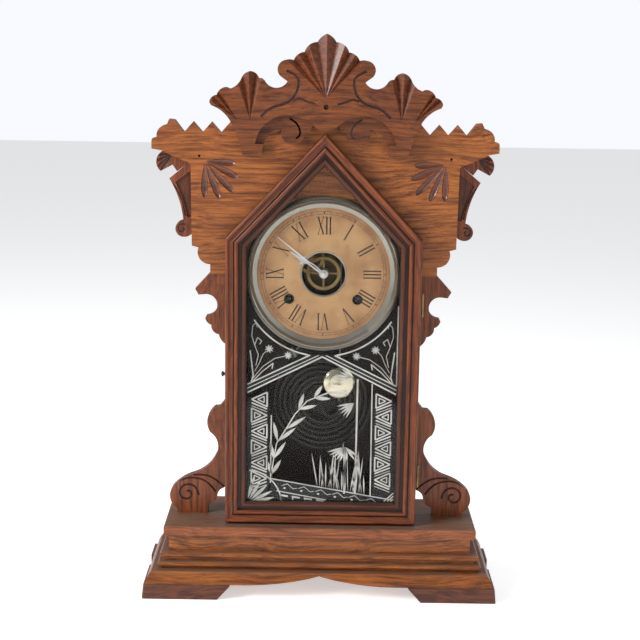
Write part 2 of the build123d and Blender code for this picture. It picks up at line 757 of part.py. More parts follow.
with BuildPart() as door_knob:
    # Turned along X: a short neck and a button on the left edge of the door
    with BuildSketch(Plane(origin=(-door_half_width, door_front + 6, knob_height), x_dir=(-1, 0, 0),
                           z_dir=(0, -1, 0))):
        with BuildLine():
            Polyline((0, 0), (0, 2.2), (0.6, 2.2), (0.6, 1.3), (1.4, 1.3))
            Polyline((1.4, 1.3), (1.8, knob_radius - 0.5), (2.6, knob_radius), (3.4, knob_radius - 0.5),
                     (4.0, 1.6), (4.2, 0.6), (4.2, 0), (0, 0))
        make_face()
    revolve(axis=Axis((-door_half_width, door_front + 6, knob_height), (1, 0, 0)))
write(door_knob.part, "door_knob")


# Dial: a tin pan with a paper face, a bezel, an open centre with its ring, and winding grommets
winding_places = [(-winding_hole_x, dial_height - winding_hole_drop),
                  (winding_hole_x, dial_height - winding_hole_drop)]
dial_axis = Axis((0, 0, dial_height), (0, -1, 0))

with BuildPart() as dial_pan:
    with BuildSketch(facing(pan_back)):
        with Locations((0, dial_height)):
            Circle(pan_radius)
            Circle(centre_opening, mode=Mode.SUBTRACT)
        with Locations(*winding_places):
            Circle(winding_hole_radius, mode=Mode.SUBTRACT)
    extrude(amount=pan_thickness)
write(dial_pan.part, "dial_pan")

with BuildPart() as dial_paper:
    with BuildSketch(facing(pan_front)):
        with Locations((0, dial_height)):
            Circle(paper_radius)
            Circle(centre_ring_outer, mode=Mode.SUBTRACT)
        with Locations(*winding_places):
            Circle(grommet_radius, mode=Mode.SUBTRACT)
    extrude(amount=paper_thickness)
write(dial_paper.part, "dial_paper")


def radial(depth):
    """Half plane through the dial's axis: local x is the radius to the right, local y runs to the back."""
    return Plane(origin=(0, depth, dial_height), x_dir=(1, 0, 0), z_dir=(0, 0, 1))


with BuildPart() as dial_bezel:
    # Local y of this plane points to the back, so heights are taken as negative
    with BuildSketch(radial(pan_front)):
        with BuildLine():
            inner = paper_radius + 0.2
            rim = pan_radius
            top = bezel_height
            Polyline((rim, 0), (inner, 0), (inner, -1.0), (inner + 4.2, -2.3), (rim - 5.3, -top + 1.2),
                     (rim - 4.4, -top), (rim - 3.6, -top + 0.3), (rim - 3.1, -top + 1.5),
                     (rim - 2.3, -top + 0.7), (rim - 0.4, -top + 1.9), (rim, 0))
        make_face()
    revolve(axis=dial_axis)
write(dial_bezel.part, "dial_bezel")

with BuildPart() as dial_centre_ring:
    with BuildSketch(radial(pan_front)):
        with BuildLine():
            Polyline((centre_ring_outer, 0), (centre_ring_inner, 0), (centre_ring_inner + 0.4, -0.8),
                     (centre_ring_outer - 0.7, -0.95), (centre_ring_outer, -0.3), (centre_ring_outer, 0))
        make_face()
    revolve(axis=dial_axis)
write(dial_centre_ring.part, "dial_centre_ring")

with BuildPart() as winding_grommets:
    with BuildSketch(facing(pan_front)):
        with Locations(*winding_places):
            Circle(grommet_radius)
            Circle(winding_hole_radius - 0.6, mode=Mode.SUBTRACT)
    extrude(amount=grommet_thickness)
    front_rims = winding_grommets.faces().sort_by(Axis.Y)[:2].edges()
    chamfer(front_rims, length=0.3)
write(winding_grommets.part, "winding_grommets")


# Hands: pierced steel, each with a flared cross and a lance tip
def along_hand(front, angle):
    """A plane at a hand's back face whose local y runs along the hand, clockwise from twelve."""
    turn = radians(angle)
    return Plane(origin=(0, front + hand_thickness, dial_height), x_dir=(cos(turn), 0, -sin(turn)),
                 z_dir=(0, -1, 0))


def hand(front, angle, length, cross, hub, bore, waist):
    """A hand with a round hub, a flared cross at some distance and a tapered blade to the tip."""
    with BuildPart() as blade:
        with BuildSketch(along_hand(front, angle)):
            Circle(hub)
            with BuildLine():
                Polyline((-waist, 0), (-waist * 0.6, cross), (-waist * 1.5, cross + 8), (0, length),
                         (waist * 1.5, cross + 8), (waist * 0.6, cross), (waist, 0), close=True)
            make_face()
            with Locations((0, cross)):
                Circle(hand_cross_radius)
            for corner in (45, 135, 225, 315):
                with Locations((hand_notch_reach * cos(radians(corner)),
                                cross + hand_notch_reach * sin(radians(corner)))):
                    Circle(hand_notch_radius, mode=Mode.SUBTRACT)
            Circle(bore, mode=Mode.SUBTRACT)
        extrude(amount=hand_thickness)
    return blade.part


write(hand(hour_hand_front, hour_hand_angle, hour_hand_length, 25.0, 4.4, pipe_radius, 0.9), "hour_hand")
write(hand(minute_hand_front, minute_hand_angle, minute_hand_length, 34.0, 3.6, centre_arbor_radius, 0.8),
      "minute_hand")

with BuildPart() as hand_nut:
    with BuildSketch(radial(minute_hand_front)):
        with BuildLine():
            Polyline((0, -arbor_tip), (centre_arbor_radius, -arbor_tip), (centre_arbor_radius, 0),
                     (nut_radius, 0), (nut_radius, -0.9))
            Polyline((nut_radius, -0.9), (1.8, -1.5), (0.6, -nut_height), (0, -nut_height), (0, -arbor_tip))
        make_face()
    revolve(axis=dial_axis)
write(hand_nut.part, "hand_nut")


# Movement: two plates, the wheels between them and the motion work behind the dial
def place(x, z):
    """A point of the movement, measured from the middle of the dial."""
    return (x, dial_height + z)


def meeting(first, first_reach, second, second_reach, side):
    """The point at given distances from two points; side picks one of the two answers."""
    apart = hypot(second[0] - first[0], second[1] - first[1])
    along = (first_reach ** 2 - second_reach ** 2 + apart ** 2) / (2 * apart)
    across = side * sqrt(first_reach ** 2 - along ** 2)
    unit = ((second[0] - first[0]) / apart, (second[1] - first[1]) / apart)
    return (first[0] + along * unit[0] - across * unit[1], first[1] + along * unit[1] + across * unit[0])


def bearing(start, end):
    """Direction from one point to another, in degrees anticlockwise from the right."""
    return degrees(atan2(end[1] - start[1], end[0] - start[0]))


middle = place(0, 0)
time_barrel = place(winding_hole_x, -winding_hole_drop)
strike_barrel = place(-winding_hole_x, -winding_hole_drop)
great_distance = great_module * (great_teeth + second_pinion_leaves) / 2
second_distance = second_module * (second_teeth + centre_pinion_leaves) / 2
third_distance = centre_module * (centre_teeth + third_pinion_leaves) / 2
escape_distance = third_module * (third_teeth + escape_pinion_leaves) / 2
motion_distance = minute_module * (minute_teeth + cannon_leaves) / 2
second_place = meeting(middle, second_distance, time_barrel, great_distance, 1)
strike_place = (-second_place[0], second_place[1])
third_place = place(0, third_distance)
escape_place = place(escape_x, third_distance + sqrt(escape_distance ** 2 - escape_x ** 2))
minute_place = place(motion_distance * cos(radians(minute_bearing)),
                     motion_distance * sin(radians(minute_bearing)))
suspension_place = place(escape_x, suspension_rise)
hammer_place = place(*hammer_pivot)
pillar_places = [place(side * pillar_x, height) for side in (-1, 1) for height in pillar_heights]


def rod(centre, front, back, radius, bore=0.0):
    """A round bar or tube that runs from front to back."""
    with BuildPart() as bar:
        with BuildSketch(facing(back)):
            with Locations(centre):
                Circle(radius)
                if bore > 0:
                    Circle(bore, mode=Mode.SUBTRACT)
        extrude(amount=back - front)
    return bar.part


def toothed(centre, front, back, teeth, module, phase, bore=0.0, arms=0):
    """A toothed disc with one tooth tip at the phase angle; arms leave openings between them."""
    pitch_radius = teeth * module / 2
    tip = pitch_radius + tooth_above_pitch * module
    root = pitch_radius - tooth_below_pitch * module
    outline = []
    for index in range(teeth):
        angle = radians(phase + index * 360 / teeth)
        half_pitch = pi / teeth
        outline.append((centre[0] + tip * cos(angle), centre[1] + tip * sin(angle)))
        outline.append((centre[0] + root * cos(angle + half_pitch), centre[1] + root * sin(angle + half_pitch)))
    with BuildPart() as disc:
        with BuildSketch(facing(back)):
            with BuildLine():
                Polyline(*outline, close=True)
            make_face()
            for arm in range(arms):
                with BuildLine():
                    Polyline(*opening(centre, root - wheel_rim, 360 * arm / arms, 360 / arms), close=True)
                make_face(mode=Mode.SUBTRACT)
            if bore > 0:
                with Locations(centre):
                    Circle(bore, mode=Mode.SUBTRACT)
        extrude(amount=back - front)
    return disc.part


def opening(centre, rim, start, span):
    """Corners of the opening between two arms of a wheel."""
    corners = []
    for share in (0, 0.25, 0.5, 0.75, 1):
        half_arm = degrees(wheel_arm / rim)
        angle = radians(start + half_arm + share * (span - 2 * half_arm))
        corners.append((centre[0] + rim * cos(angle), centre[1] + rim * sin(angle)))
    for share in (1, 0):
        half_arm = degrees(wheel_arm / wheel_hub)
        angle = radians(start + half_arm + share * (span - 2 * half_arm))
        corners.append((centre[0] + wheel_hub * cos(angle), centre[1] + wheel_hub * sin(angle)))
    return corners


def facing_gap(centre, other, teeth):
    """Phase that turns a gap of a pinion to the wheel that drives it."""
    return bearing(centre, other) + 180 / teeth


def gathered(pieces, name):
    """Join loose pieces into one part and write it."""
    with BuildPart() as whole:
        add(pieces)
    write(whole.part, name)


def arbor(centre, front=front_plate_back + end_shake):
    """An arbor between the plates, with a pivot in each plate."""
    return [rod(centre, front, back_plate_front - end_shake, arbor_radius),
            rod(centre, front_plate_front, block_front, pivot_radius)]


plate_middle = place(0, (plate_above - plate_below) / 2)
bored = [(second_place, pivot_radius), (strike_place, pivot_radius), (third_place, pivot_radius),
         (hammer_place, pivot_radius), (middle, centre_arbor_radius),
         (time_barrel, winding_arbor_radius), (strike_barrel, winding_arbor_radius)]


def plate(back, holes):
    """A brass plate with bored holes, each a running fit for its pivot."""
    with BuildPart() as sheet:
        with BuildSketch(facing(back)):
            with Locations(plate_middle):
                Rectangle(2 * plate_half_width, plate_above + plate_below)
            for centre, radius in holes:
                with Locations(centre):
                    Circle(radius + running_fit, mode=Mode.SUBTRACT)
        extrude(amount=plate_thickness)
    return sheet.part


tenon_holes = [(spot, pillar_tenon) for spot in pillar_places]
cheek = place(escape_x, suspension_rise + suspension_post_offset / 2 + 0.45)
with BuildPart() as suspension_cheek:
    with BuildSketch(facing(pendulum_depth + 1.2)):
        with Locations(cheek):
            Rectangle(4, suspension_post_offset - 0.9)
    extrude(amount=2.4)
suspension_post = place(escape_x, suspension_rise + suspension_post_offset)
gathered([plate(front_plate_back, bored + tenon_holes + [(escape_place, arbor_radius)]),
          rod(suspension_post, pendulum_depth - 1.2, front_plate_front, 2.0), suspension_cheek.part,
          rod(suspension_place, verge_stud_front, front_plate_front, pivot_radius),
          rod(minute_place, minute_wheel_back + 0.6, front_plate_front, 2.0),
          rod(minute_place, minute_pinion_front - 0.2, minute_wheel_back + 0.6, 1.2)], "front_plate")

pillars = [rod(spot, front_plate_back, back_plate_front, pillar_radius) for spot in pillar_places]
tenons = [rod(spot, front_plate_front - 0.8, front_plate_back, pillar_tenon) for spot in pillar_places]
gathered([plate(block_front, bored + [(escape_place, pivot_radius)])] + pillars + tenons, "back_plate")


# Winding arbors, great wheels and mainsprings, one set for each train
def winding_arbor(centre, name):
    """Arbor with a winding square in front and a ratchet behind the front plate."""
    with BuildPart() as square:
        with BuildSketch(facing(winding_square_back)):
            with Locations(centre):
                Rectangle(winding_square, winding_square)
        extrude(amount=winding_square_back - winding_square_front)
    ratchet_module = 2 * ratchet_radius / (ratchet_teeth + 1)
    gathered([rod(centre, winding_square_back, block_front + 1, winding_arbor_radius), square.part,
              toothed(centre, ratchet_front, ratchet_front + 1.2, ratchet_teeth, ratchet_module, 0)], name)


def great_wheel(centre, other, name):
    """Great wheel that turns on the winding arbor, with its click beside the ratchet."""
    click_angle = radians(90)
    click_reach = ratchet_radius + 0.2
    with BuildPart() as click:
        with BuildSketch(facing(ratchet_front + 1.2)):
            with BuildLine():
                Polyline((centre[0] + click_reach * cos(click_angle), centre[1] + click_reach),
                         (centre[0] + 6, centre[1] + click_reach + 1.5), (centre[0] + 6, centre[1] + click_reach + 5),
                         (centre[0] + 1, centre[1] + click_reach + 5), close=True)
            make_face()
        extrude(amount=ratchet_front + 1.2 - great_front)
    gathered([toothed(centre, great_front, great_front + 1.4, great_teeth, great_module,
                      bearing(centre, other), winding_arbor_radius + running_fit), click.part], name)


def mainspring(centre, post, name):
    """Wound spring: a packed coil, an inner end at the arbor and an outer end looped on a pillar."""
    front = mainspring_back - mainspring_width
    turn = bearing(centre, post)
    apart = hypot(post[0] - centre[0], post[1] - centre[1])
    loop = pillar_radius + running_fit
    inner_end = winding_arbor_radius + 2 * running_fit
    with BuildPart() as strips:
        with BuildSketch(Plane(origin=(centre[0], mainspring_back, centre[1]),
                               x_dir=(cos(radians(turn)), 0, sin(radians(turn))), z_dir=(0, -1, 0))):
            with Locations(((mainspring_outer - 0.5 + apart - loop - 0.4) / 2, 0)):
                Rectangle(apart - loop + 0.1 - mainspring_outer, 0.8)
            with Locations((-(mainspring_inner + inner_end) / 2, 0)):
                Rectangle(mainspring_inner - inner_end, 1.0)
        extrude(amount=mainspring_width)
    gathered([rod(centre, front, mainspring_back, mainspring_outer, mainspring_inner - 0.2), strips.part,
              rod(post, front, mainspring_back, loop + 0.8, loop)], name)


winding_arbor(time_barrel, "time_winding_arbor")
winding_arbor(strike_barrel, "strike_winding_arbor")
great_wheel(time_barrel, second_place, "time_great_wheel")
great_wheel(strike_barrel, strike_place, "strike_great_wheel")
mainspring(time_barrel, place(pillar_x, pillar_heights[0]), "time_mainspring")
mainspring(strike_barrel, place(-pillar_x, pillar_heights[0]), "strike_mainspring")

# Wheels of the time train, from the second arbor to the escape wheel
gathered(arbor(second_place)
         + [toothed(second_place, 12.4, 14.7, second_pinion_leaves, great_module,
                    facing_gap(second_place, time_barrel, second_pinion_leaves)),
            toothed(second_place, 38.2, 39.4, second_teeth, second_module, bearing(second_place, middle),
                    arms=4)], "second_wheel")

sleeve_bore = centre_arbor_radius + running_fit
gathered([rod(middle, 12.5, 40.5, 3.0, sleeve_bore),
          toothed(middle, 37.6, 40.0, centre_pinion_leaves, second_module,
                  facing_gap(middle, second_place, centre_pinion_leaves), sleeve_bore),
          toothed(middle, 15.3, 16.3, centre_teeth, centre_module, bearing(middle, third_place),
                  sleeve_bore, 4)], "centre_wheel")

gathered(arbor(third_place)
         + [toothed(third_place, 14.8, 16.8, third_pinion_leaves, centre_module,
                    facing_gap(third_place, middle, third_pinion_leaves)),
            toothed(third_place, 20.0, 21.0, third_teeth, third_module, bearing(third_place, escape_place),
                    arms=4)], "third_wheel")

escape_module = 2 * escape_radius / (escape_teeth + 1)
gathered(arbor(escape_place, escape_front - 0.3)
         + [toothed(escape_place, 19.4, 21.6, escape_pinion_leaves, third_module,
                    facing_gap(escape_place, third_place, escape_pinion_leaves)),
            toothed(escape_place, escape_front, escape_front + 1.0, escape_teeth, escape_module,
                    90 + 180 / escape_teeth, arms=4)], "escape_wheel")

# Verge: a bent strip over the escape wheel, with a crutch wire that ends in a fork round the rod
pallet_angle = radians(pallet_pitches * 180 / escape_teeth)
pallet_reach = escape_radius + pallet_gap
tip_x = pallet_reach * sin(pallet_angle)
tip_z = escape_place[1] + pallet_reach * cos(pallet_angle)
with BuildPart() as pallets:
    with BuildSketch(facing(escape_front + 1.0)):
        with BuildLine():
            for side in (-1, 1):
                Polyline((escape_x, suspension_place[1] + 1.2), (escape_x + side * 9.6, tip_z + 3.4),
                         (escape_x + side * tip_x, tip_z), (escape_x + side * 7.6, tip_z + 2.8),
                         (escape_x, suspension_place[1] - 1.2))
        make_face()
    extrude(amount=1.0)
fork_height = dial_height + fork_rise
crutch = [rod(suspension_place, verge_stud_front - 1.0, verge_stud_front + 3.6, 1.8)]
with BuildPart() as crutch_wire:
    with BuildSketch(facing(crutch_depth + 0.5)):
        with Locations((escape_x, (suspension_place[1] + fork_height) / 2)):
            Rectangle(1.0, suspension_place[1] - fork_height)
        with Locations((escape_x, fork_height)):
            Rectangle(2 * fork_half_width + 1.0, 1.0)
    extrude(amount=1.0)
    with BuildSketch(facing(crutch_depth)):
        with Locations((escape_x - fork_half_width, fork_height), (escape_x + fork_half_width, fork_height)):
            Rectangle(1.0, 1.0)
    extrude(amount=crutch_depth - fork_front)
with BuildPart() as verge:
    add(crutch)
    add([pallets.part, crutch_wire.part])
    add(rod(suspension_place, verge_stud_front - 0.1, verge_stud_front + 6, pivot_radius + running_fit),
        mode=Mode.SUBTRACT)
write(verge.part, "verge")

# Motion work: cannon pinion on the centre arbor, minute wheel on its post, hour wheel on its pipe
gathered([rod(middle, minute_hand_front - arbor_tip, block_front + 1, centre_arbor_radius),
          toothed(middle, cannon_front, cannon_front + 3.0, cannon_leaves, minute_module,
                  facing_gap(middle, minute_place, cannon_leaves))], "centre_arbor")

post_bore = 1.2 + running_fit
gathered([rod(minute_place, minute_pinion_front, minute_wheel_back + 0.5, 2.2, post_bore),
          toothed(minute_place, minute_wheel_back - 1.0, minute_wheel_back, minute_teeth, minute_module,
                  bearing(minute_place, middle), post_bore, 4),
          toothed(minute_place, minute_pinion_front, minute_pinion_front + 2.5, minute_pinion_leaves,
                  hour_module, facing_gap(minute_place, middle, minute_pinion_leaves), post_bore)],
         "minute_wheel")

pipe_bore = centre_arbor_radius + 0.08
gathered([rod(middle, hour_hand_front, cannon_front - 0.2, pipe_radius, pipe_bore),
          toothed(middle, hour_wheel_front, hour_wheel_front + 1.0, hour_teeth, hour_module,
                  bearing(middle, minute_place), pipe_bore, 4)], "hour_wheel")

# Strike train: second wheel and hammer
gathered(arbor(strike_place)
         + [toothed(strike_place, 12.4, 14.7, second_pinion_leaves, great_module,
                    facing_gap(strike_place, strike_barrel, second_pinion_leaves)),
            toothed(strike_place, 38.2, 39.4, strike_teeth, second_module, 0, arms=4)],
         "strike_second_wheel")

gong_centre = (0, gong_height)
hammer_turn = radians(hammer_bearing)
head_inner = (gong_centre[0] + (hammer_reach - 5) * cos(hammer_turn),
              gong_centre[1] + (hammer_reach - 5) * sin(hammer_turn))
head_middle = (gong_centre[0] + hammer_reach * cos(hammer_turn),
               gong_centre[1] + hammer_reach * sin(hammer_turn))
with BuildPart() as hammer_head:
    with BuildSketch(Plane(origin=(head_inner[0], gong_depth, head_inner[1]), x_dir=(0, 1, 0),
                           z_dir=(cos(hammer_turn), 0, sin(hammer_turn)))):
        Circle(4)
    extrude(amount=10)
arm_length = hypot(hammer_place[0] - head_middle[0], hammer_place[1] - head_middle[1])
with BuildPart() as hammer_arm:
    with BuildSketch(Plane(origin=(head_middle[0], gong_depth, head_middle[1]), x_dir=(0, 1, 0),
                           z_dir=(hammer_place[0] - head_middle[0], 0, hammer_place[1] - head_middle[1]))):
        Circle(0.8)
    extrude(amount=arm_length)
with BuildPart() as hammer_tail:
    with BuildSketch(facing(30.8)):
        with Locations((hammer_place[0] + 4.5, hammer_place[1])):
            Rectangle(9, 1.4)
    extrude(amount=1.6)
gathered(arbor(hammer_place) + [hammer_head.part, hammer_arm.part, hammer_tail.part], "hammer")


# Pendulum: suspension strip, long rod and a lens-shaped bob
with BuildPart() as pendulum_rod:
    bottom = dial_height + suspension_rise - pendulum_length - bob_radius - 3
    with BuildSketch(facing(pendulum_depth + pendulum_rod_radius)):
        with Locations((escape_x, suspension_place[1] - 4.7)):
            Rectangle(2.4, 10.6)
    extrude(amount=0.3)
    with BuildSketch(Plane.XY.offset(bottom)):
        with Locations((escape_x, pendulum_depth)):
            Circle(pendulum_rod_radius)
    extrude(amount=suspension_place[1] - 8 - bottom)
write(pendulum_rod.part, "pendulum_rod")

bob_height = dial_height + suspension_rise - pendulum_length
with BuildPart() as pendulum_bob:
    with BuildSketch(Plane(origin=(escape_x, pendulum_depth, bob_height), x_dir=(1, 0, 0), z_dir=(0, 0, 1))):
        with BuildLine():
            half = bob_thickness / 2
            Polyline((bob_flat, -half), (0, -half), (0, half), (bob_flat, half))
            crown = [(bob_radius * 0.6, half * 0.83), (bob_radius * 0.9, half * 0.42), (bob_radius, 0.8)]
            Polyline((bob_flat, half), *crown)
            Line((bob_radius, 0.8), (bob_radius, -0.8))
            Polyline((bob_flat, -half), *[(reach, -height) for reach, height in crown])
        make_face()
    revolve(axis=Axis((escape_x, pendulum_depth, bob_height), (0, -1, 0)))
    with BuildSketch(Plane.XY.offset(bob_height - bob_radius - 1)):
        with Locations((escape_x, pendulum_depth)):
            Rectangle(2 * pendulum_rod_radius, 2 * pendulum_rod_radius)
    extrude(amount=2 * bob_radius + 2, mode=Mode.SUBTRACT)
write(pendulum_bob.part, "pendulum_bob")


# Gong: a flat coil of square wire whose inner end is held in a block on a round base
with BuildPart() as gong_base:
    with BuildSketch(facing(board_front)):
        with Locations(gong_centre):
            Circle(gong_base_radius)
    extrude(amount=gong_base_thickness)
    with BuildSketch(facing(board_front - gong_base_thickness)):
        with Locations(gong_centre):
            Rectangle(2 * gong_post, 2 * gong_post)
    extrude(amount=board_front - gong_base_thickness - gong_depth + 2.5)
write(gong_base.part, "gong_base")

# The wire runs down out of the block, turns up again and winds outwards in half turns
coil_start = gong_inner - gong_pitch / 4
with BuildPart() as gong_coil:
    with BuildLine(Plane(origin=(0, gong_depth, gong_height), x_dir=(1, 0, 0), z_dir=(0, -1, 0))) as wire:
        ThreePointArc((0, -gong_post), (coil_start / 2, -gong_post - coil_start / 2), (coil_start, -gong_post))
        Line((coil_start, -gong_post), (coil_start, 0))
        for turn in range(gong_half_turns):
            side = 1 if turn % 2 == 0 else -1
            reach = gong_inner + turn * gong_pitch / 2
            centre_x = -side * gong_pitch / 4
            ThreePointArc((centre_x + side * reach, 0), (centre_x, side * reach), (centre_x - side * reach, 0))
    with BuildSketch(Plane(origin=(0, gong_depth, gong_height - gong_post), x_dir=(1, 0, 0),
                           z_dir=(0, 0, -1))):
        Rectangle(gong_wire, gong_wire)
    sweep(path=wire.line)
write(gong_coil.part, "gong_coil")

# The wire's least gap to itself, between points a millimetre apart that don't follow one another
route = Wire(wire.edges())
steps = int(route.length)
places = [tuple(route @ (step / steps)) for step in range(steps + 1)]
apart = int(gong_inner)
nearest = min(dist(place, other) for step, place in enumerate(places) for other in places[step + apart:])
print(f"gong wire: least gap to itself {nearest - gong_wire:.2f} mm, measured on {steps + 1} points")
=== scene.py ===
import math

import bpy
from mathutils import Matrix, Vector


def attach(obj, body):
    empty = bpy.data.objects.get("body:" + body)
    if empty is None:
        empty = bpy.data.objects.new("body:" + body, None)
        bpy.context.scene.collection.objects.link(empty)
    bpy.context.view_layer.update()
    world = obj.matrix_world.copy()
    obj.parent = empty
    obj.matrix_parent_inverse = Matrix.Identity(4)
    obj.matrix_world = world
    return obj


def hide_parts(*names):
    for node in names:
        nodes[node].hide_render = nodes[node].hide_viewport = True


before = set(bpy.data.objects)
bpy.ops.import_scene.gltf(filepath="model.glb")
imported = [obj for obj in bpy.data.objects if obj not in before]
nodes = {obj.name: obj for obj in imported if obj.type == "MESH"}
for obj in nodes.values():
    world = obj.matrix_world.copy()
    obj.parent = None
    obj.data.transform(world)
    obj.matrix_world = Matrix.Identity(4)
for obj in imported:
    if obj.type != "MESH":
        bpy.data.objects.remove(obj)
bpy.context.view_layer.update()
scene = bpy.context.scene
scene.view_settings.view_transform = "Standard"


# Viewpoint: in front of the clock, at the height of the top of its crest, tilted a little down.
# The picture is turned by less than a degree, as a hand-held one is.
view_place = (-0.0029, -1.4030, 0.5666)
view_tilt = math.radians(11.51)
view_roll = math.radians(0.86)
ahead = Vector((0, math.cos(view_tilt), -math.sin(view_tilt)))
level = Vector((1, 0, 0))
upward = level.cross(ahead)
view_right = math.cos(view_roll) * level + math.sin(view_roll) * upward
view_up = -math.sin(view_roll) * level + math.cos(view_roll) * upward
camera_data = bpy.data.cameras.new("view")
camera_data.sensor_width = 36.0
camera_data.lens = 78.75
camera = bpy.data.objects.new("view", camera_data)
turned = Matrix((view_right, view_up, -ahead)).transposed().to_4x4()
camera.matrix_world = Matrix.Translation(view_place) @ turned
scene.collection.objects.link(camera)
scene.camera = camera


# Base of the clock: a thick top board over moulded boards with two half-round beads and a swept skirt.
# All of it is oak, sawn so that the grain runs along each board, stained red brown and shellacked.
def new_group(name, inputs, outputs):
    """A shader node group with named sockets; returns the tree and its two end nodes."""
    tree = bpy.data.node_groups.new(name, "ShaderNodeTree")
    kinds = {"colour": "NodeSocketColor", "value": "NodeSocketFloat", "vector": "NodeSocketVector"}
    for label, kind, default in inputs:
        socket = tree.interface.new_socket(label, in_out="INPUT", socket_type=kinds[kind])
        if default is not None:
            socket.default_value = default
    for label, kind in outputs:
        tree.interface.new_socket(label, in_out="OUTPUT", socket_type=kinds[kind])
    return tree, tree.nodes.new("NodeGroupInput"), tree.nodes.new("NodeGroupOutput")


def stretched_noise(tree, vector, scale, detail=3.0, rough=0.55, distortion=0.0):
    """Noise on a vector whose axes are scaled apart, so that it makes streaks."""
    mapping = tree.nodes.new("ShaderNodeMapping")
    mapping.inputs["Scale"].default_value = scale
    noise = tree.nodes.new("ShaderNodeTexNoise")
    noise.inputs["Scale"].default_value = 1.0
    noise.inputs["Detail"].default_value = detail
    noise.inputs["Roughness"].default_value = rough
    noise.inputs["Distortion"].default_value = distortion
    tree.links.new(vector, mapping.inputs["Vector"])
    tree.links.new(mapping.outputs["Vector"], noise.inputs["Vector"])
    return noise.outputs["Fac"]


def spread(tree, value, low, high, to_low=0.0, to_high=1.0):
    """Map a value from one range to another, held at its ends."""
    node = tree.nodes.new("ShaderNodeMapRange")
    for socket, number in (("From Min", low), ("From Max", high), ("To Min", to_low), ("To Max", to_high)):
        node.inputs[socket].default_value = number
    tree.links.new(value, node.inputs["Value"])
    return node.outputs["Result"]


def blended(tree, factor, first, second, mode="MIX"):
    """Mix two colours; each of the three inputs may be a socket or a plain value."""
    node = tree.nodes.new("ShaderNodeMix")
    node.data_type = "RGBA"
    node.blend_type = mode
    for socket, given in ((node.inputs[0], factor), (node.inputs[6], first), (node.inputs[7], second)):
        if isinstance(given, bpy.types.NodeSocket):
            tree.links.new(given, socket)
        else:
            socket.default_value = given
    return node.outputs[2]


def arithmetic(tree, operation, first, second):
    """One math node; each input may be a socket or a number."""
    node = tree.nodes.new("ShaderNodeMath")
    node.operation = operation
    for socket, given in ((node.inputs[0], first), (node.inputs[1], second)):
        if isinstance(given, bpy.types.NodeSocket):
            tree.links.new(given, socket)
        else:
            socket.default_value = given
    return node.outputs[0]


def oak_group():
    """Grain of oak along the vector's X axis: growth streaks, open pores and pale ray flecks."""
    tree, given, result = new_group(
        "oak_grain", [("Along", "vector", None), ("Pale", "colour", (0.44, 0.13, 0.035, 1)),
                      ("Dark", "colour", (0.10, 0.022, 0.007, 1)), ("Fleck", "value", 0.5)],
        [("Colour", "colour"), ("Roughness", "value"), ("Height", "value")])
    along = given.outputs["Along"]
    sway = stretched_noise(tree, along, (9, 14, 14), 1.0)
    offset = tree.nodes.new("ShaderNodeCombineXYZ")
    shift = spread(tree, sway, 0, 1, -0.012, 0.012)
    tree.links.new(shift, offset.inputs["Y"])
    tree.links.new(shift, offset.inputs["Z"])
    wavy = tree.nodes.new("ShaderNodeVectorMath")
    tree.links.new(along, wavy.inputs[0])
    tree.links.new(offset.outputs[0], wavy.inputs[1])
    waved = wavy.outputs[0]
    growth = stretched_noise(tree, waved, (13, 330, 330), 4.0, 0.62)
    streak = stretched_noise(tree, waved, (38, 900, 900), 3.0)
    pore = stretched_noise(tree, waved, (75, 2300, 2300), 2.0)
    cloud = stretched_noise(tree, along, (16, 22, 22), 3.0)
    ray = stretched_noise(tree, waved, (55, 260, 260), 2.0, 0.5, 0.6)
    tone = arithmetic(tree, "ADD", spread(tree, growth, 0.38, 0.60, 0, 0.64),
                      spread(tree, streak, 0.32, 0.66, 0, 0.36))
    tone = arithmetic(tree, "MULTIPLY", tone, spread(tree, cloud, 0.3, 0.7, 0.72, 1.12))
    colour = blended(tree, tone, given.outputs["Dark"], given.outputs["Pale"])
    flecks = arithmetic(tree, "MULTIPLY", spread(tree, ray, 0.56, 0.68), given.outputs["Fleck"])
    colour = blended(tree, flecks, colour, blended(tree, 1.0, colour, (1.55, 1.5, 1.45, 1), "MULTIPLY"))
    pores = spread(tree, pore, 0.60, 0.70)
    colour = blended(tree, arithmetic(tree, "MULTIPLY", pores, 0.72), colour, (0.016, 0.006, 0.003, 1))
    tree.links.new(colour, result.inputs["Colour"])
    rough = arithmetic(tree, "ADD", spread(tree, streak, 0.3, 0.7, 0.46, 0.34),
                       arithmetic(tree, "MULTIPLY", pores, 0.2))
    tree.links.new(rough, result.inputs["Roughness"])
    height = arithmetic(tree, "SUBTRACT", arithmetic(tree, "MULTIPLY", streak, 0.35), pores)
    tree.links.new(height, result.inputs["Height"])
    return tree


def hollow_shade_group():
    """Painted shade in the hollows: a colour darkened between two depths."""
    tree, given, result = new_group(
        "hollow_shade", [("Colour", "colour", None), ("Depth", "value", 0.0), ("Open", "value", 0.0),
                         ("Hollow", "value", 1.0), ("Shade", "colour", (0.02, 0.007, 0.004, 1)),
                         ("Amount", "value", 0.8)], [("Colour", "colour")])
    ramp = tree.nodes.new("ShaderNodeMapRange")
    ramp.interpolation_type = "SMOOTHSTEP"
    for label, socket in (("Depth", "Value"), ("Open", "From Min"), ("Hollow", "From Max")):
        tree.links.new(given.outputs[label], ramp.inputs[socket])
    factor = arithmetic(tree, "MULTIPLY", ramp.outputs["Result"], given.outputs["Amount"])
    shaded = blended(tree, factor, given.outputs["Colour"], given.outputs["Shade"])
    tree.links.new(shaded, result.inputs["Colour"])
    return tree


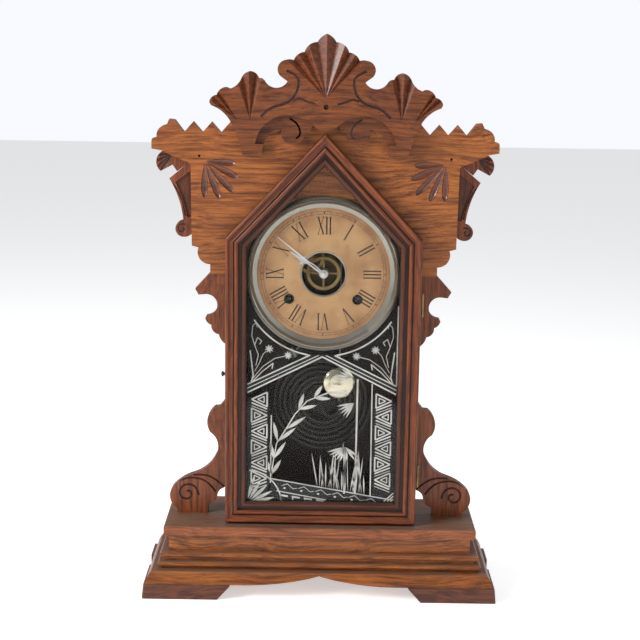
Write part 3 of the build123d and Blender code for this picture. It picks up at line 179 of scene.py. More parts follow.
def dust_group():
    """Grey-brown house dust that lies on faces turned up, in uneven patches."""
    tree, given, result = new_group(
        "settled_dust", [("Colour", "colour", None), ("Vector", "vector", None), ("Amount", "value", 0.5)],
        [("Colour", "colour"), ("Mask", "value")])
    normal = tree.nodes.new("ShaderNodeNewGeometry")
    parts = tree.nodes.new("ShaderNodeSeparateXYZ")
    tree.links.new(normal.outputs["True Normal"], parts.inputs[0])
    patch = stretched_noise(tree, given.outputs["Vector"], (60, 60, 60), 4.0)
    mask = arithmetic(tree, "MULTIPLY", spread(tree, parts.outputs["Z"], 0.55, 0.95),
                      spread(tree, patch, 0.3, 0.6, 0.35, 1))
    mask = arithmetic(tree, "MULTIPLY", mask, given.outputs["Amount"])
    colour = blended(tree, mask, given.outputs["Colour"], (0.16, 0.115, 0.085, 1))
    tree.links.new(colour, result.inputs["Colour"])
    tree.links.new(mask, result.inputs["Mask"])
    return tree


oak_grain, hollow_shade, settled_dust = oak_group(), hollow_shade_group(), dust_group()
grain_turns = {"X": (0, 0, 0), "Z": (0, math.radians(90), 0), "Y": (0, 0, math.radians(90))}


def placed(tree, group):
    """A group placed in a material."""
    node = tree.nodes.new("ShaderNodeGroup")
    node.node_tree = group
    return node


def oak(name, turn, pale, dark, fleck=0.5, shift=(0, 0, 0), hollow_shades=(), dust=0.5, coat=0.175):
    """Oak with its own grain direction, tones, painted shade in hollows (axis, open, hollow, amount) and
    dust.
    """
    material = bpy.data.materials.new(name)
    material.use_nodes = True
    tree = material.node_tree
    shader = tree.nodes["Principled BSDF"]
    place = tree.nodes.new("ShaderNodeTexCoord")
    mapping = tree.nodes.new("ShaderNodeMapping")
    mapping.inputs["Rotation"].default_value = grain_turns.get(turn, turn)
    mapping.inputs["Location"].default_value = shift
    tree.links.new(place.outputs["Object"], mapping.inputs["Vector"])
    grain = placed(tree, oak_grain)
    grain.inputs["Pale"].default_value = (*pale, 1)
    grain.inputs["Dark"].default_value = (*dark, 1)
    grain.inputs["Fleck"].default_value = fleck
    tree.links.new(mapping.outputs["Vector"], grain.inputs["Along"])
    colour = grain.outputs["Colour"]
    if hollow_shades:
        parts = tree.nodes.new("ShaderNodeSeparateXYZ")
        tree.links.new(place.outputs["Object"], parts.inputs[0])
    # Each entry darkens the colour between two depths as painted shade.
    for axis, unshaded, shaded, amount in hollow_shades:
        hollow = placed(tree, hollow_shade)
        hollow.inputs["Open"].default_value = unshaded
        hollow.inputs["Hollow"].default_value = shaded
        hollow.inputs["Amount"].default_value = amount
        tree.links.new(colour, hollow.inputs["Colour"])
        tree.links.new(parts.outputs[axis], hollow.inputs["Depth"])
        colour = hollow.outputs["Colour"]
    layer = placed(tree, settled_dust)
    layer.inputs["Amount"].default_value = dust
    tree.links.new(colour, layer.inputs["Colour"])
    tree.links.new(place.outputs["Object"], layer.inputs["Vector"])
    tree.links.new(layer.outputs["Colour"], shader.inputs["Base Color"])
    tree.links.new(grain.outputs["Roughness"], shader.inputs["Roughness"])
    bump = tree.nodes.new("ShaderNodeBump")
    bump.inputs["Strength"].default_value = 0.35
    bump.inputs["Distance"].default_value = 0.0002
    tree.links.new(grain.outputs["Height"], bump.inputs["Height"])
    tree.links.new(bump.outputs["Normal"], shader.inputs["Normal"])
    shader.inputs["Coat Weight"].default_value = coat
    shader.inputs["Coat Roughness"].default_value = 0.3
    shader.inputs["Specular IOR Level"].default_value = 0.3
    return material


def finish_with(material, *names):
    """Give CAD nodes one material."""
    for name in names:
        nodes[name].data.materials.clear()
        nodes[name].data.materials.append(material)


red_pale, red_dark = (0.32, 0.088, 0.025), (0.075, 0.018, 0.007)
warm_pale, warm_dark = (0.39, 0.120, 0.023), (0.085, 0.020, 0.006)
finish_with(oak("oak_top_board", "X", (0.36, 0.105, 0.032), (0.085, 0.022, 0.008), 0.4, (0.3, 0.1, 0),
                dust=0.8), "base_top_board")
# The top of the front moulding, under the top board, is darkened as painted shade.
finish_with(oak("oak_front_moulding", "X", warm_pale, warm_dark, 0.5, (0.1, 0.4, 0.2), dust=0.6,
                hollow_shades=[("Z", 0.0585, 0.0607, 0.75)]), "base_front_moulding")
finish_with(oak("oak_side_moulding", "Y", red_pale, red_dark, 0.5, (0.5, 0.2, 0), dust=0.6),
            "base_left_moulding", "base_right_moulding")
finish_with(oak("oak_feet", "X", (0.17, 0.043, 0.015), (0.036, 0.010, 0.005), 0.1, (0.7, 0, 0.1), dust=0.7),
            "foot_front_left", "foot_front_right", "feet_rear")

# Case behind the front: plain softwood boards, nailed, stained dark and never polished.
# The roof and back are rougher than the sides, and the inner face of the back is darkened nearly black as
# painted shade.
finish_with(oak("case_sides", "Z", (0.13, 0.042, 0.018), (0.030, 0.011, 0.006), 0.0, (0.2, 0.6, 0),
                dust=0.4, coat=0.025),
            "case_left_side", "case_right_side", "front_stiles")
finish_with(oak("case_boards", "X", (0.11, 0.045, 0.022), (0.032, 0.013, 0.008), 0.0, (0.9, 0.3, 0),
                dust=0.6, coat=0.0),
            "case_roof", "base_back_rail", "movement_blocks", "glass_beads")
# The back board darkens towards its inner face as painted shade inside the closed case.
finish_with(oak("case_back", "Z", (0.060, 0.030, 0.018), (0.018, 0.009, 0.006), 0.0, (0.4, 0.9, 0),
                dust=0.3, coat=0.0, hollow_shades=[("Y", 0.055, 0.0532, 0.9)]), "back_board")


# Headboard: one wide board with its grain along it, fret-sawn wings and a leaf spray cut into each side.
# The gouge cuts are deep at their round ends and run out to a point, and their faces take a darker oak as
# painted shade.
def only(piece):
    """Select one object and make it active."""
    bpy.ops.object.select_all(action="DESELECT")
    piece.select_set(True)
    bpy.context.view_layer.objects.active = piece


def merged_copy(name, node):
    """A copy of a CAD node with its loose triangles merged."""
    piece = nodes[node].copy()
    piece.data = nodes[node].data.copy()
    piece.name = piece.data.name = name
    piece.parent = None
    scene.collection.objects.link(piece)
    only(piece)
    bpy.ops.object.mode_set(mode="EDIT")
    bpy.ops.mesh.select_all(action="SELECT")
    bpy.ops.mesh.remove_doubles(threshold=0.000004)
    bpy.ops.object.mode_set(mode="OBJECT")
    return piece


def joined(pieces, name):
    """Join loose objects into one."""
    bpy.ops.object.select_all(action="DESELECT")
    for piece in pieces:
        piece.select_set(True)
    bpy.context.view_layer.objects.active = pieces[0]
    if len(pieces) > 1:
        bpy.ops.object.join()
    whole = bpy.context.view_layer.objects.active
    whole.name = whole.data.name = name
    bpy.ops.object.transform_apply(location=True, rotation=True, scale=True)
    return whole


def carve(piece, cutters, hollow, crease=13):
    """Cut every cutter out of a piece; the cut faces take the hollow's material, a darker oak as painted
    shade.
    """
    tool = joined(cutters, "cutter")
    tool.data.materials.append(hollow)
    only(piece)
    cut = piece.modifiers.new("carving", "BOOLEAN")
    cut.object = tool
    cut.operation = "DIFFERENCE"
    cut.solver = "EXACT"
    cut.use_self = True
    cut.material_mode = "TRANSFER"
    bpy.ops.object.modifier_apply(modifier=cut.name)
    bpy.data.objects.remove(tool)
    bpy.ops.object.shade_smooth_by_angle(angle=math.radians(crease))
    even = piece.modifiers.new("even_faces", "WEIGHTED_NORMAL")
    even.keep_sharp = True
    bpy.ops.object.modifier_apply(modifier=even.name)


def covered(piece, wood):
    """Give a piece one material."""
    piece.data.materials.clear()
    piece.data.materials.append(wood)


def teardrop(root, tip, front, width, depth):
    """A gouge cut: narrow at the root, round and deep at the tip, sunk into the face at a depth."""
    run = Vector((tip[0] - root[0], 0, tip[1] - root[1]))
    bpy.ops.mesh.primitive_uv_sphere_add(segments=20, ring_count=12, radius=1)
    drop = bpy.context.active_object
    for vertex in drop.data.vertices:
        reach = (vertex.co.x + 1) / 2
        taper = 0.16 + 0.84 * max(reach, 0.0) ** 0.8
        vertex.co = (vertex.co.x, vertex.co.y * taper, vertex.co.z * taper)
    drop.matrix_world = (Matrix.Translation(((root[0] + tip[0]) / 2, front, (root[1] + tip[1]) / 2))
                         @ Matrix.Rotation(-math.atan2(run.z, run.x), 4, "Y")
                         @ Matrix.Diagonal((run.length / 2, depth, width / 2, 1)))
    return drop


def groove(points, front, radius, sinking=0.0):
    """A round-bottomed cut that follows a smooth line over a face, and may sink towards its far end."""
    line = bpy.data.curves.new("groove", "CURVE")
    line.dimensions = "3D"
    spline = line.splines.new("NURBS")
    spline.points.add(len(points) - 1)
    for index, (x, z) in enumerate(points):
        spline.points[index].co = (x, front + sinking * index / (len(points) - 1), z, 1)
    spline.order_u = 3
    spline.use_endpoint_u = True
    spline.resolution_u = 4
    line.bevel_depth = radius
    line.bevel_resolution = 2
    line.use_fill_caps = True
    path = bpy.data.objects.new("groove", line)
    scene.collection.objects.link(path)
    only(path)
    bpy.ops.object.convert(target="MESH")
    return bpy.context.active_object


mm = 0.001


def on_side(points, side):
    """Points given in millimetres for the right side, in metres on the right (1) or the left (-1)."""
    return [(side * x * mm, z * mm) for x, z in points]


headboard_face = -0.0126
leaf_width, leaf_depth, leaf_start = 9.5 * mm, 3.4 * mm, 0.06
headboard = merged_copy("headboard_carved", "headboard")
leaf_root = (119.9, 442.6)
leaf_tips = [(88.6, 440.9), (85.8, 426.6), (90.6, 411.6), (104.6, 405.6), (119.6, 405.9)]
cuts = []
for side in (-1, 1):
    for tip in leaf_tips:
        root = (leaf_root[0] + (tip[0] - leaf_root[0]) * leaf_start,
                leaf_root[1] + (tip[1] - leaf_root[1]) * leaf_start)
        cuts.append(teardrop(*on_side([root, tip], side), headboard_face, leaf_width, leaf_depth))
covered(headboard, oak("oak_headboard", "X", (0.43, 0.135, 0.028), (0.090, 0.022, 0.007), 0.15,
                       (0.2, 0.1, 0.35), dust=0.6))
# The cut faces take a darker oak as painted shade.
carve(headboard, cuts, oak("oak_leaf_cuts_shaded", "X", (0.19, 0.050, 0.017), (0.055, 0.014, 0.006), 0.1,
                           (0.2, 0.1, 0.35), dust=0.1, coat=0.8))
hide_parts("headboard")
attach(headboard, "case")

# Crest: a thick board carved as three pleated palmettes on stems that curl away from two open arches.
# It is fixed to the front of the headboard, and its pleats, grooves and sunk parts are darker than its face
# as painted shade.
crest_face = -0.0226
scroll = [(38.9, 532.4), (31.2, 529.6), (26.6, 523.6), (27.2, 515.2), (32.0, 505.2), (41.6, 499.6),
          (51.0, 497.6), (58.6, 493.0), (63.4, 487.3)]
branch = [(32.5, 503.2), (28, 505.4), (23.7, 504.5), (17, 501.6), (11.2, 500.4)]
hook = [(35.6, 486.0), (30.6, 483.0), (26.6, 478.4), (25.0, 472.6), (25.8, 468.6), (29.0, 466.6)]
hook_sunk, hole_height, hole_radius = 5 * mm, 0.4975, 2.6 * mm
crest = merged_copy("crest_carved", "crest_board")
cuts = []
for side in (-1, 1):
    cuts.append(groove(on_side(scroll, side), crest_face, 1.3 * mm))
    cuts.append(groove(on_side(branch, side), crest_face, 1.1 * mm))
    cuts.append(groove(on_side(hook, side), crest_face + hook_sunk, 0.9 * mm))
bpy.ops.mesh.primitive_uv_sphere_add(segments=16, ring_count=10, radius=hole_radius,
                                     location=(0, crest_face, hole_height))
cuts.append(bpy.context.active_object)
# Grooves take a dark oak as painted shade.
groove_shade_oak = oak("oak_grooves_shaded", "X", (0.075, 0.020, 0.009), (0.022, 0.007, 0.005), 0.0,
                 (0.2, 0.1, 0.3), dust=0.1, coat=0.2)
# Parts sunk 3 to 8 mm behind the crest's face are darkened as painted shade.
covered(crest, oak("oak_crest", "X", (0.25, 0.070, 0.018), (0.050, 0.013, 0.005), 0.15, (0.6, 0.2, 0.15),
                   dust=0.5, hollow_shades=[("Y", crest_face + 0.0030, crest_face + 0.0080, 0.5)]))
# Each fan: the point where its pleats meet, the bearings that bound each pleat, their length and depth
fans = (((0.0, 506.0), ((0, 19), (19, 33.5), (33.5, 47)), 66.0, 8.0),
        ((74.2, 483.0), ((-14.5, 2.0), (2.0, 18.5)), 56.0, 8.0),
        ((86.5, 483.6), ((30, 42), (42, 55)), 52.0, 7.0))
proud = -0.05 * mm
pleats = []
for side in (-1, 1):
    for fan, spans, reach, depth in fans:
        for near, far in spans:
            bpy.ops.mesh.primitive_cone_add(vertices=3)
            wedge = bpy.context.active_object
            middle = math.radians((near + far) / 2)
            ends = [(math.radians(near), proud), (math.radians(far), proud), (middle, depth * mm)]
            for vertex, (turn, sunk) in zip(wedge.data.vertices, ends):
                vertex.co = (side * (fan[0] + reach * math.sin(turn)) * mm, crest_face + sunk,
                             (fan[1] + reach * math.cos(turn)) * mm)
            wedge.data.vertices[3].co = (side * fan[0] * mm, crest_face + proud, fan[1] * mm)
            bpy.ops.object.mode_set(mode="EDIT")
            bpy.ops.mesh.select_all(action="SELECT")
            bpy.ops.mesh.normals_make_consistent(inside=False)
            bpy.ops.object.mode_set(mode="OBJECT")
            pleats.append(wedge)
# The pleat faces take a darker oak as painted shade.
pleat_shade_oak = oak("oak_pleats_shaded", "X", (0.21, 0.057, 0.018), (0.060, 0.015, 0.006), 0.1, (0.6, 0.2, 0.15),
                dust=0.4, coat=0.45)
carve(crest, pleats, pleat_shade_oak)
carve(crest, cuts, groove_shade_oak)
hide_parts("crest_board")
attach(crest, "case")

# Corner brackets: sawn and carved scrolls that fill the angle under each wing, with a small fan on top.
# They are glued behind the headboard and are a little darker than it.
bracket_face = -0.0016
fan_root, fan_tips = (151.0, 449.0), ((171.0, 446.5), (170.4, 440.2), (168.4, 434.4), (164.6, 431.6))
curl = [(143.4 + reach * math.cos(turn), 373.2 + reach * math.sin(turn))
        for reach, turn in ((5.6 - 0.5 * step, 2.2 - step * 0.8) for step in range(9))]
hollow_edge = [(153.6, 420.2), (146.4, 410.6), (141.6, 398.6), (139.8, 386.4)]
for side, node in ((-1, "corner_bracket_left"), (1, "corner_bracket_right")):
    bracket = merged_copy(node + "_carved", node)
    cuts = []
    for tip in fan_tips:
        cuts.append(teardrop(*on_side([fan_root, tip], side), bracket_face, 3.4 * mm, 1.6 * mm))
    cuts.append(groove(on_side(curl, side), bracket_face, 0.8 * mm))
    cuts.append(groove(on_side(hollow_edge, side), bracket_face, 0.9 * mm))
    # The deeper parts of the carving and the cut faces are darkened as painted shade.
    covered(bracket, oak(node + "_oak", "Z", (0.27, 0.070, 0.022), (0.070, 0.017, 0.007), 0.3,
                         (0.3 * side, 0.5, 0), dust=0.5,
                         hollow_shades=[("Y", bracket_face + 0.0006, bracket_face + 0.0018, 0.5)]))
    carve(bracket, cuts, groove_shade_oak)
    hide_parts(node)
    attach(bracket, "case")

# Side frets: one sawn board each, with a toothed bracket above and a carved scroll foot below.
# The volute on the foot is a spiral cut round its eye, with two long cuts up the stem.
fret_face = 0.0047
eye = (139.6, 91.9)
spiral = [(eye[0] + reach * math.cos(turn), eye[1] + reach * math.sin(turn))
          for reach, turn in ((2.2 + 0.72 * step, 1.2 + step * 0.6) for step in range(15))]
stems = ([(151.7, 103.0), (143.8, 108.0), (133.4, 109.4), (121.6, 106.8), (113.6, 99.6), (110.0, 94.0)],
         [(133.5, 112.0), (122.0, 113.2), (109.5, 108.0), (99.0, 98.0)])
for side, node in ((-1, "side_fret_left"), (1, "side_fret_right")):
    fret = merged_copy(node + "_carved", node)
    cuts = [groove(on_side(spiral, side), fret_face, 1.1 * mm)]
    cuts += [groove(on_side(stem, side), fret_face, 1.0 * mm) for stem in stems]
    covered(fret, oak(node + "_oak", "Z", (0.30, 0.082, 0.024), (0.070, 0.017, 0.007), 0.15,
                      (0.6 * side, 0.1, 0.2), dust=0.6))
    # The cut faces take the dark groove oak as painted shade.
    carve(fret, cuts, groove_shade_oak)
    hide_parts(node)
    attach(fret, "case")

# Door: five moulded members, mitred, whose hollows are darkened as painted shade.
# Each member's grain runs along it.
door_hollow_shade = [("Y", -0.0282, -0.0252, 0.85)]
slope = math.atan2(104.0, 98.0)
for name, turn, shift in (("door_left_stile", "Z", 0.1), ("door_right_stile", "Z", 0.6),
                          ("door_bottom_rail", "X", 0.3), ("door_left_rafter", (0, slope, 0), 0.8),
                          ("door_right_rafter", (0, -slope, 0), 0.45)):
    finish_with(oak(name + "_oak", turn, (0.25, 0.062, 0.016), (0.052, 0.012, 0.005), 0.15,
                    (shift, shift / 2, 0), hollow_shades=door_hollow_shade, dust=0.2, coat=0.1), name)


# Dial: a tin pan with a printed paper that has gone tan, and a spun bezel with a silvery worn lacquer.
# The numerals and the minute ring are printed in black, and two grommets line the winding holes, coloured
# near black as painted shade of the holes.
def plain(name, colour, metallic, rough, uneven=0.06, grain=(300, 300, 300), tint=(0.6, 0.5, 0.4),
          amount=0.25, bump_depth=0.00002):
    """A metal or paint whose colour and roughness vary over the surface, with fine relief."""
    material = bpy.data.materials.new(name)
    material.use_nodes = True
    tree = material.node_tree
    shader = tree.nodes["Principled BSDF"]
    place = tree.nodes.new("ShaderNodeTexCoord")
    fine = stretched_noise(tree, place.outputs["Object"], grain, 4.0)
    broad = stretched_noise(tree, place.outputs["Object"], (45, 45, 45), 4.0)
    darker = tuple(part * worn for part, worn in zip(colour, tint))
    mask = arithmetic(tree, "MULTIPLY", spread(tree, broad, 0.42, 0.66), amount * 2)
    tree.links.new(blended(tree, mask, (*colour, 1), (*darker, 1)), shader.inputs["Base Color"])
    uneven_rough = spread(tree, fine, 0.3, 0.7, max(rough - uneven, 0.03), rough + uneven)
    tree.links.new(uneven_rough, shader.inputs["Roughness"])
    bump = tree.nodes.new("ShaderNodeBump")
    bump.inputs["Strength"].default_value = 0.25
    bump.inputs["Distance"].default_value = bump_depth
    tree.links.new(fine, bump.inputs["Height"])
    tree.links.new(bump.outputs["Normal"], shader.inputs["Normal"])
    shader.inputs["Metallic"].default_value = metallic
    return material


dial_middle = (0.0, 0.331)


def aged_paper():
    """Printed paper, tan with brown blotches, browner towards its rim."""
    material = bpy.data.materials.new("dial_paper_aged")
    material.use_nodes = True
    tree = material.node_tree
    shader = tree.nodes["Principled BSDF"]
    place = tree.nodes.new("ShaderNodeTexCoord")
    mapping = tree.nodes.new("ShaderNodeMapping")
    mapping.inputs["Location"].default_value = (0, 0, -dial_middle[1])
    tree.links.new(place.outputs["Object"], mapping.inputs["Vector"])
    flat = tree.nodes.new("ShaderNodeVectorMath")
    flat.operation = "MULTIPLY"
    flat.inputs[1].default_value = (1, 0, 1)
    tree.links.new(mapping.outputs["Vector"], flat.inputs[0])
    reach = tree.nodes.new("ShaderNodeVectorMath")
    reach.operation = "LENGTH"
    tree.links.new(flat.outputs[0], reach.inputs[0])
    blotch = stretched_noise(tree, mapping.outputs["Vector"], (38, 38, 38), 5.0, 0.6)
    fibre = stretched_noise(tree, mapping.outputs["Vector"], (700, 700, 700), 3.0)
    rim = arithmetic(tree, "MULTIPLY", spread(tree, reach.outputs["Value"], 0.050, 0.068), 0.55)
    mask = arithmetic(tree, "ADD", rim, spread(tree, blotch, 0.40, 0.66, 0, 0.75))
    colour = blended(tree, mask, (0.60, 0.345, 0.160, 1), (0.36, 0.165, 0.072, 1))
    colour = blended(tree, spread(tree, fibre, 0.35, 0.7, 0, 0.25), colour, (0.36, 0.19, 0.09, 1))
    tree.links.new(colour, shader.inputs["Base Color"])
    tree.links.new(spread(tree, fibre, 0.3, 0.7, 0.62, 0.85), shader.inputs["Roughness"])
    return material


finish_with(aged_paper(), "dial_paper")
finish_with(plain("pan_tin", (0.42, 0.40, 0.36), 0.9, 0.45), "dial_pan")
finish_with(plain("bezel_metal", (0.36, 0.335, 0.295), 1.0, 0.36, 0.04, (160, 40, 160),
                  (0.80, 0.72, 0.62), 0.15), "dial_bezel")
finish_with(plain("ring_metal", (0.50, 0.45, 0.38), 1.0, 0.32), "dial_centre_ring")
# The grommets are near black as painted shade of the winding holes.
finish_with(plain("grommet_hole_shade", (0.03, 0.027, 0.024), 0.7, 0.4), "winding_grommets")

ink = plain("printing_ink", (0.018, 0.013, 0.011), 0.0, 0.6, tint=(2.2, 2.0, 1.8))


def flat_shape(points):
    """A flat polygon in the plane of local X and Z, from a disc whose rim is moved to the points."""
    bpy.ops.mesh.primitive_circle_add(vertices=len(points), radius=1, fill_type="NGON")
    shape = bpy.context.active_object
    for vertex, (x, z) in zip(shape.data.vertices, points):
        vertex.co = (x, 0, z)
    return shape


def film(shapes, name, front, thickness, material, body):
    """Join flat shapes, give them a thickness towards the front, and lay them at a depth."""
    layer = joined(shapes, name)
    for vertex in layer.data.vertices:
        vertex.co.y = front + thickness
    bpy.ops.object.mode_set(mode="EDIT")
    bpy.ops.mesh.select_all(action="SELECT")
    bpy.ops.mesh.extrude_region_move(TRANSFORM_OT_translate={"value": (0, -thickness, 0)})
    bpy.ops.mesh.select_all(action="SELECT")
    bpy.ops.mesh.normals_make_consistent(inside=False)
    bpy.ops.object.mode_set(mode="OBJECT")
    layer.data.materials.append(material)
    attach(layer, body)
    return layer


def bar(start, end, near_width, far_width=None):
    """A straight stroke between two points, given as a polygon."""
    far_width = near_width if far_width is None else far_width
    run = Vector((end[0] - start[0], end[1] - start[1])).normalized()
    side = Vector((-run.y, run.x))
    return [(start[0] + side.x * near_width / 2, start[1] + side.y * near_width / 2),
            (start[0] - side.x * near_width / 2, start[1] - side.y * near_width / 2),
            (end[0] - side.x * far_width / 2, end[1] - side.y * far_width / 2),
            (end[0] + side.x * far_width / 2, end[1] + side.y * far_width / 2)]


numeral_inner, numeral_outer = 40.4 * mm, 57.6 * mm
thick, thin, serif = 1.35 * mm, 0.5 * mm, 0.4 * mm


def numeral(letters):
    """Strokes of one Roman numeral, upright, its foot towards the dial's middle."""
    widths = {"I": 3.5 * mm, "V": 9.2 * mm, "X": 8.6 * mm}
    low, high = numeral_inner, numeral_outer
    left = -sum(widths[letter] for letter in letters) / 2
    strokes = []
    for letter in letters:
        width = widths[letter]
        centre = left + width / 2
        half_serif = 1.7 * mm
        if letter == "I":
            half_serif = 1.5 * mm
            strokes.append(bar((centre, low), (centre, high), thick))
            ends = [(centre, low), (centre, high)]
        elif letter == "V":
            reach = width * 0.33
            strokes.append(bar((centre - reach, high), (centre + 0.2 * mm, low), thick))
            strokes.append(bar((centre + reach, high), (centre + 0.4 * mm, low), thin))
            ends = [(centre - reach, high), (centre + reach, high)]
        else:
            reach = width * 0.31
            strokes.append(bar((centre - reach, high), (centre + reach, low), thick))
            strokes.append(bar((centre + reach, high), (centre - reach, low), thin))
            ends = [(centre + side * reach, z) for side in (-1, 1) for z in (low, high)]
        strokes += [bar((x - half_serif, z), (x + half_serif, z), serif) for x, z in ends]
        left += width
    return strokes


def turned_about_dial(points, clockwise):
    """Turn points round the dial's middle and put them at its height."""
    angle = -math.radians(clockwise)
    return [(dial_middle[0] + x * math.cos(angle) - z * math.sin(angle),
             dial_middle[1] + x * math.sin(angle) + z * math.cos(angle)) for x, z in points]


def ring_bars(radius, width, count):
    """A thin ring made of short straight strokes."""
    corners = [(radius * math.sin(2 * math.pi * k / count), radius * math.cos(2 * math.pi * k / count))
               for k in range(count)]
    return [bar(corners[k], corners[(k + 1) % count], width) for k in range(count)]


paper_face = -0.0135
ring_inner, ring_outer, film_depth = 60.6 * mm, 63.2 * mm, 0.00004
print_shapes = []
for hour, letters in enumerate(("XII", "I", "II", "III", "IIII", "V", "VI", "VII", "VIII", "IX", "X", "XI")):
    for stroke in numeral(letters):
        print_shapes.append(flat_shape(turned_about_dial(stroke, hour * 30)))
for minute in range(60):
    tick = bar((0, ring_inner), (0, ring_outer), (0.9 if minute % 5 == 0 else 0.4) * mm)
    print_shapes.append(flat_shape(turned_about_dial(tick, minute * 6)))
for radius in (ring_inner, ring_outer):
    for stroke in ring_bars(radius, 0.3 * mm, 90):
        print_shapes.append(flat_shape(turned_about_dial(stroke, 0)))
film(print_shapes, "dial_printing", paper_face - film_depth, film_depth, ink, "case")

# Hands: thin steel, once blued and now rubbed to a dull silver, held by a small domed nut.
# The minute hand is a long tapered blade that parts into two bars beside its hub.
finish_with(plain("hand_metal", (0.78, 0.78, 0.77), 0.7, 0.35), "minute_hand", "hand_nut")
finish_with(plain("hour_hand_metal", (0.66, 0.66, 0.66), 0.7, 0.38), "hour_hand")

blade_bearing = 308.6
hub_reach, slot_end, blade_end = 2.8 * mm, 21.0 * mm, 59.4 * mm
blade = [bar((side * 0.9 * mm, 2.0 * mm), (side * 1.5 * mm, 13.0 * mm), 0.9 * mm) for side in (-1, 1)]
blade += [bar((side * 1.5 * mm, 12.8 * mm), (side * 0.3 * mm, slot_end), 0.9 * mm, 1.0 * mm)
          for side in (-1, 1)]
blade.append(bar((0, slot_end - 0.6 * mm), (0, blade_end), 1.9 * mm, 0.5 * mm))
blade.append([(hub_reach * math.sin(k * math.pi / 8), hub_reach * math.cos(k * math.pi / 8))
              for k in range(16)])
blade_front, blade_thickness = -0.0167, 0.0005
minute_blade = film([flat_shape(turned_about_dial(part, blade_bearing)) for part in blade], "minute_blade",
                    blade_front, blade_thickness, nodes["minute_hand"].data.materials[0], "minute")
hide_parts("minute_hand")

# Glass: old window glass, held from behind by wooden strips. A pattern is stencilled on its back in silver:
# nested triangles, gable lines, sprigs, reeds and a slanted panel. Black bands behind the borders are partly
# black paint, partly painted shade of the dark case behind the clear glass.
glass = bpy.data.materials.new("old_glass")
glass.use_nodes = True
glass_shader = glass.node_tree.nodes["Principled BSDF"]
glass_shader.inputs["Base Color"].default_value = (0.97, 0.99, 0.98, 1)
glass_shader.inputs["Metallic"].default_value = 0.0
glass_shader.inputs["Transmission Weight"].default_value = 1.0
glass_shader.inputs["IOR"].default_value = 1.15
glass_shader.inputs["Specular IOR Level"].default_value = 0.2
glass_place = glass.node_tree.nodes.new("ShaderNodeTexCoord")
ripple = stretched_noise(glass.node_tree, glass_place.outputs["Object"], (14, 14, 7), 2.0)
glass_bump = glass.node_tree.nodes.new("ShaderNodeBump")
glass_bump.inputs["Strength"].default_value = 0.015
glass_bump.inputs["Distance"].default_value = 0.001
glass.node_tree.links.new(ripple, glass_bump.inputs["Height"])
glass.node_tree.links.new(glass_bump.outputs["Normal"], glass_shader.inputs["Normal"])
smear = stretched_noise(glass.node_tree, glass_place.outputs["Object"], (30, 30, 30), 3.0)
smeared = spread(glass.node_tree, smear, 0.55, 0.8, 0.0, 0.012)
glass.node_tree.links.new(smeared, glass_shader.inputs["Roughness"])
finish_with(glass, "door_glass")

silver = plain("stencil_silver", (0.74, 0.71, 0.66), 0.0, 0.5, tint=(0.55, 0.53, 0.50), amount=0.35)
black_and_shade = plain("stencil_black_and_shade", (0.005, 0.005, 0.005), 0.0, 0.6, 0.03, tint=(1.6, 1.4, 1.3))
glass_back = -0.0198
stencil = []


def silver_line(points, width):
    """A painted line through several points."""
    for start, end in zip(points, points[1:]):
        stencil.append(flat_shape([(x * mm, z * mm) for x, z in bar(start, end, width)]))


def leaf(root, tip, width):
    """A painted leaf, widest before its middle."""
    run = Vector((tip[0] - root[0], tip[1] - root[1]))
    side = Vector((-run.y, run.x)).normalized() * width / 2
    corners = [(0, 0), (0.3, 0.8), (0.5, 1), (0.75, 0.7), (1, 0), (0.75, -0.7), (0.5, -1), (0.3, -0.8)]
    stencil.append(flat_shape([((root[0] + run.x * u + side.x * v) * mm,
                                (root[1] + run.y * u + side.y * v) * mm) for u, v in corners]))


def arc_points(centre, radius, start, end, count):
    """Points on an arc, with bearings clockwise from the top."""
    return [(centre[0] + radius * math.sin(math.radians(start + (end - start) * k / count)),
             centre[1] + radius * math.cos(math.radians(start + (end - start) * k / count)))
            for k in range(count + 1)]


def nested_triangle(corners, widths):
    """An outlined triangle with a smaller one inside it."""
    middle = (sum(x for x, z in corners) / 3, sum(z for x, z in corners) / 3)
    silver_line(corners + [corners[0]], widths)
    inside = [(middle[0] + (x - middle[0]) * 0.42, middle[1] + (z - middle[1]) * 0.42) for x, z in corners]
    silver_line(inside + [inside[0]], widths * 0.75)


# Arc round the dial, and the double gable lines under it
silver_line(arc_points((0, 331), 83.6, 190, 236, 14), 1.5)
silver_line(arc_points((0, 331), 83.6, 124, 170, 14), 1.5)
for side in (-1, 1):
    silver_line([(side * 12.4, 248.5), (side * 75.6, 217.2)], 1.3)
    silver_line([(side * 3.6, 248.4), (side * 75.8, 213.0)], 0.8)
    silver_line([(0, 246.9), (side * 75.6, 208.6)], 1.5)
    silver_line([(side * 51.2, 219.4 if side > 0 else 185), (side * 51.6, 100.4 if side > 0 else 112.7)], 1.3)
silver_line([(75.9, 217), (75.9, 300)], 1.2)
# Key borders: triangles that point in and out in turn, with a slanted bar between each two
for side in (-1, 1):
    inner, outer, pitch, half = side * 55.6, side * 71.4, 16.8, 7.6
    for index in range(6):
        middle = 201.4 - index * pitch
        base, apex = (inner, outer) if index % 2 == 0 else (outer, inner)
        nested_triangle([(base, middle + half), (base, middle - half), (apex, middle)], 1.5)
        silver_line([(base, middle - half - 2.4), (apex, middle - 3.6)], 1.5)
        silver_line([(base, middle - half - 5.4), (apex, middle - 6.8)], 0.7)
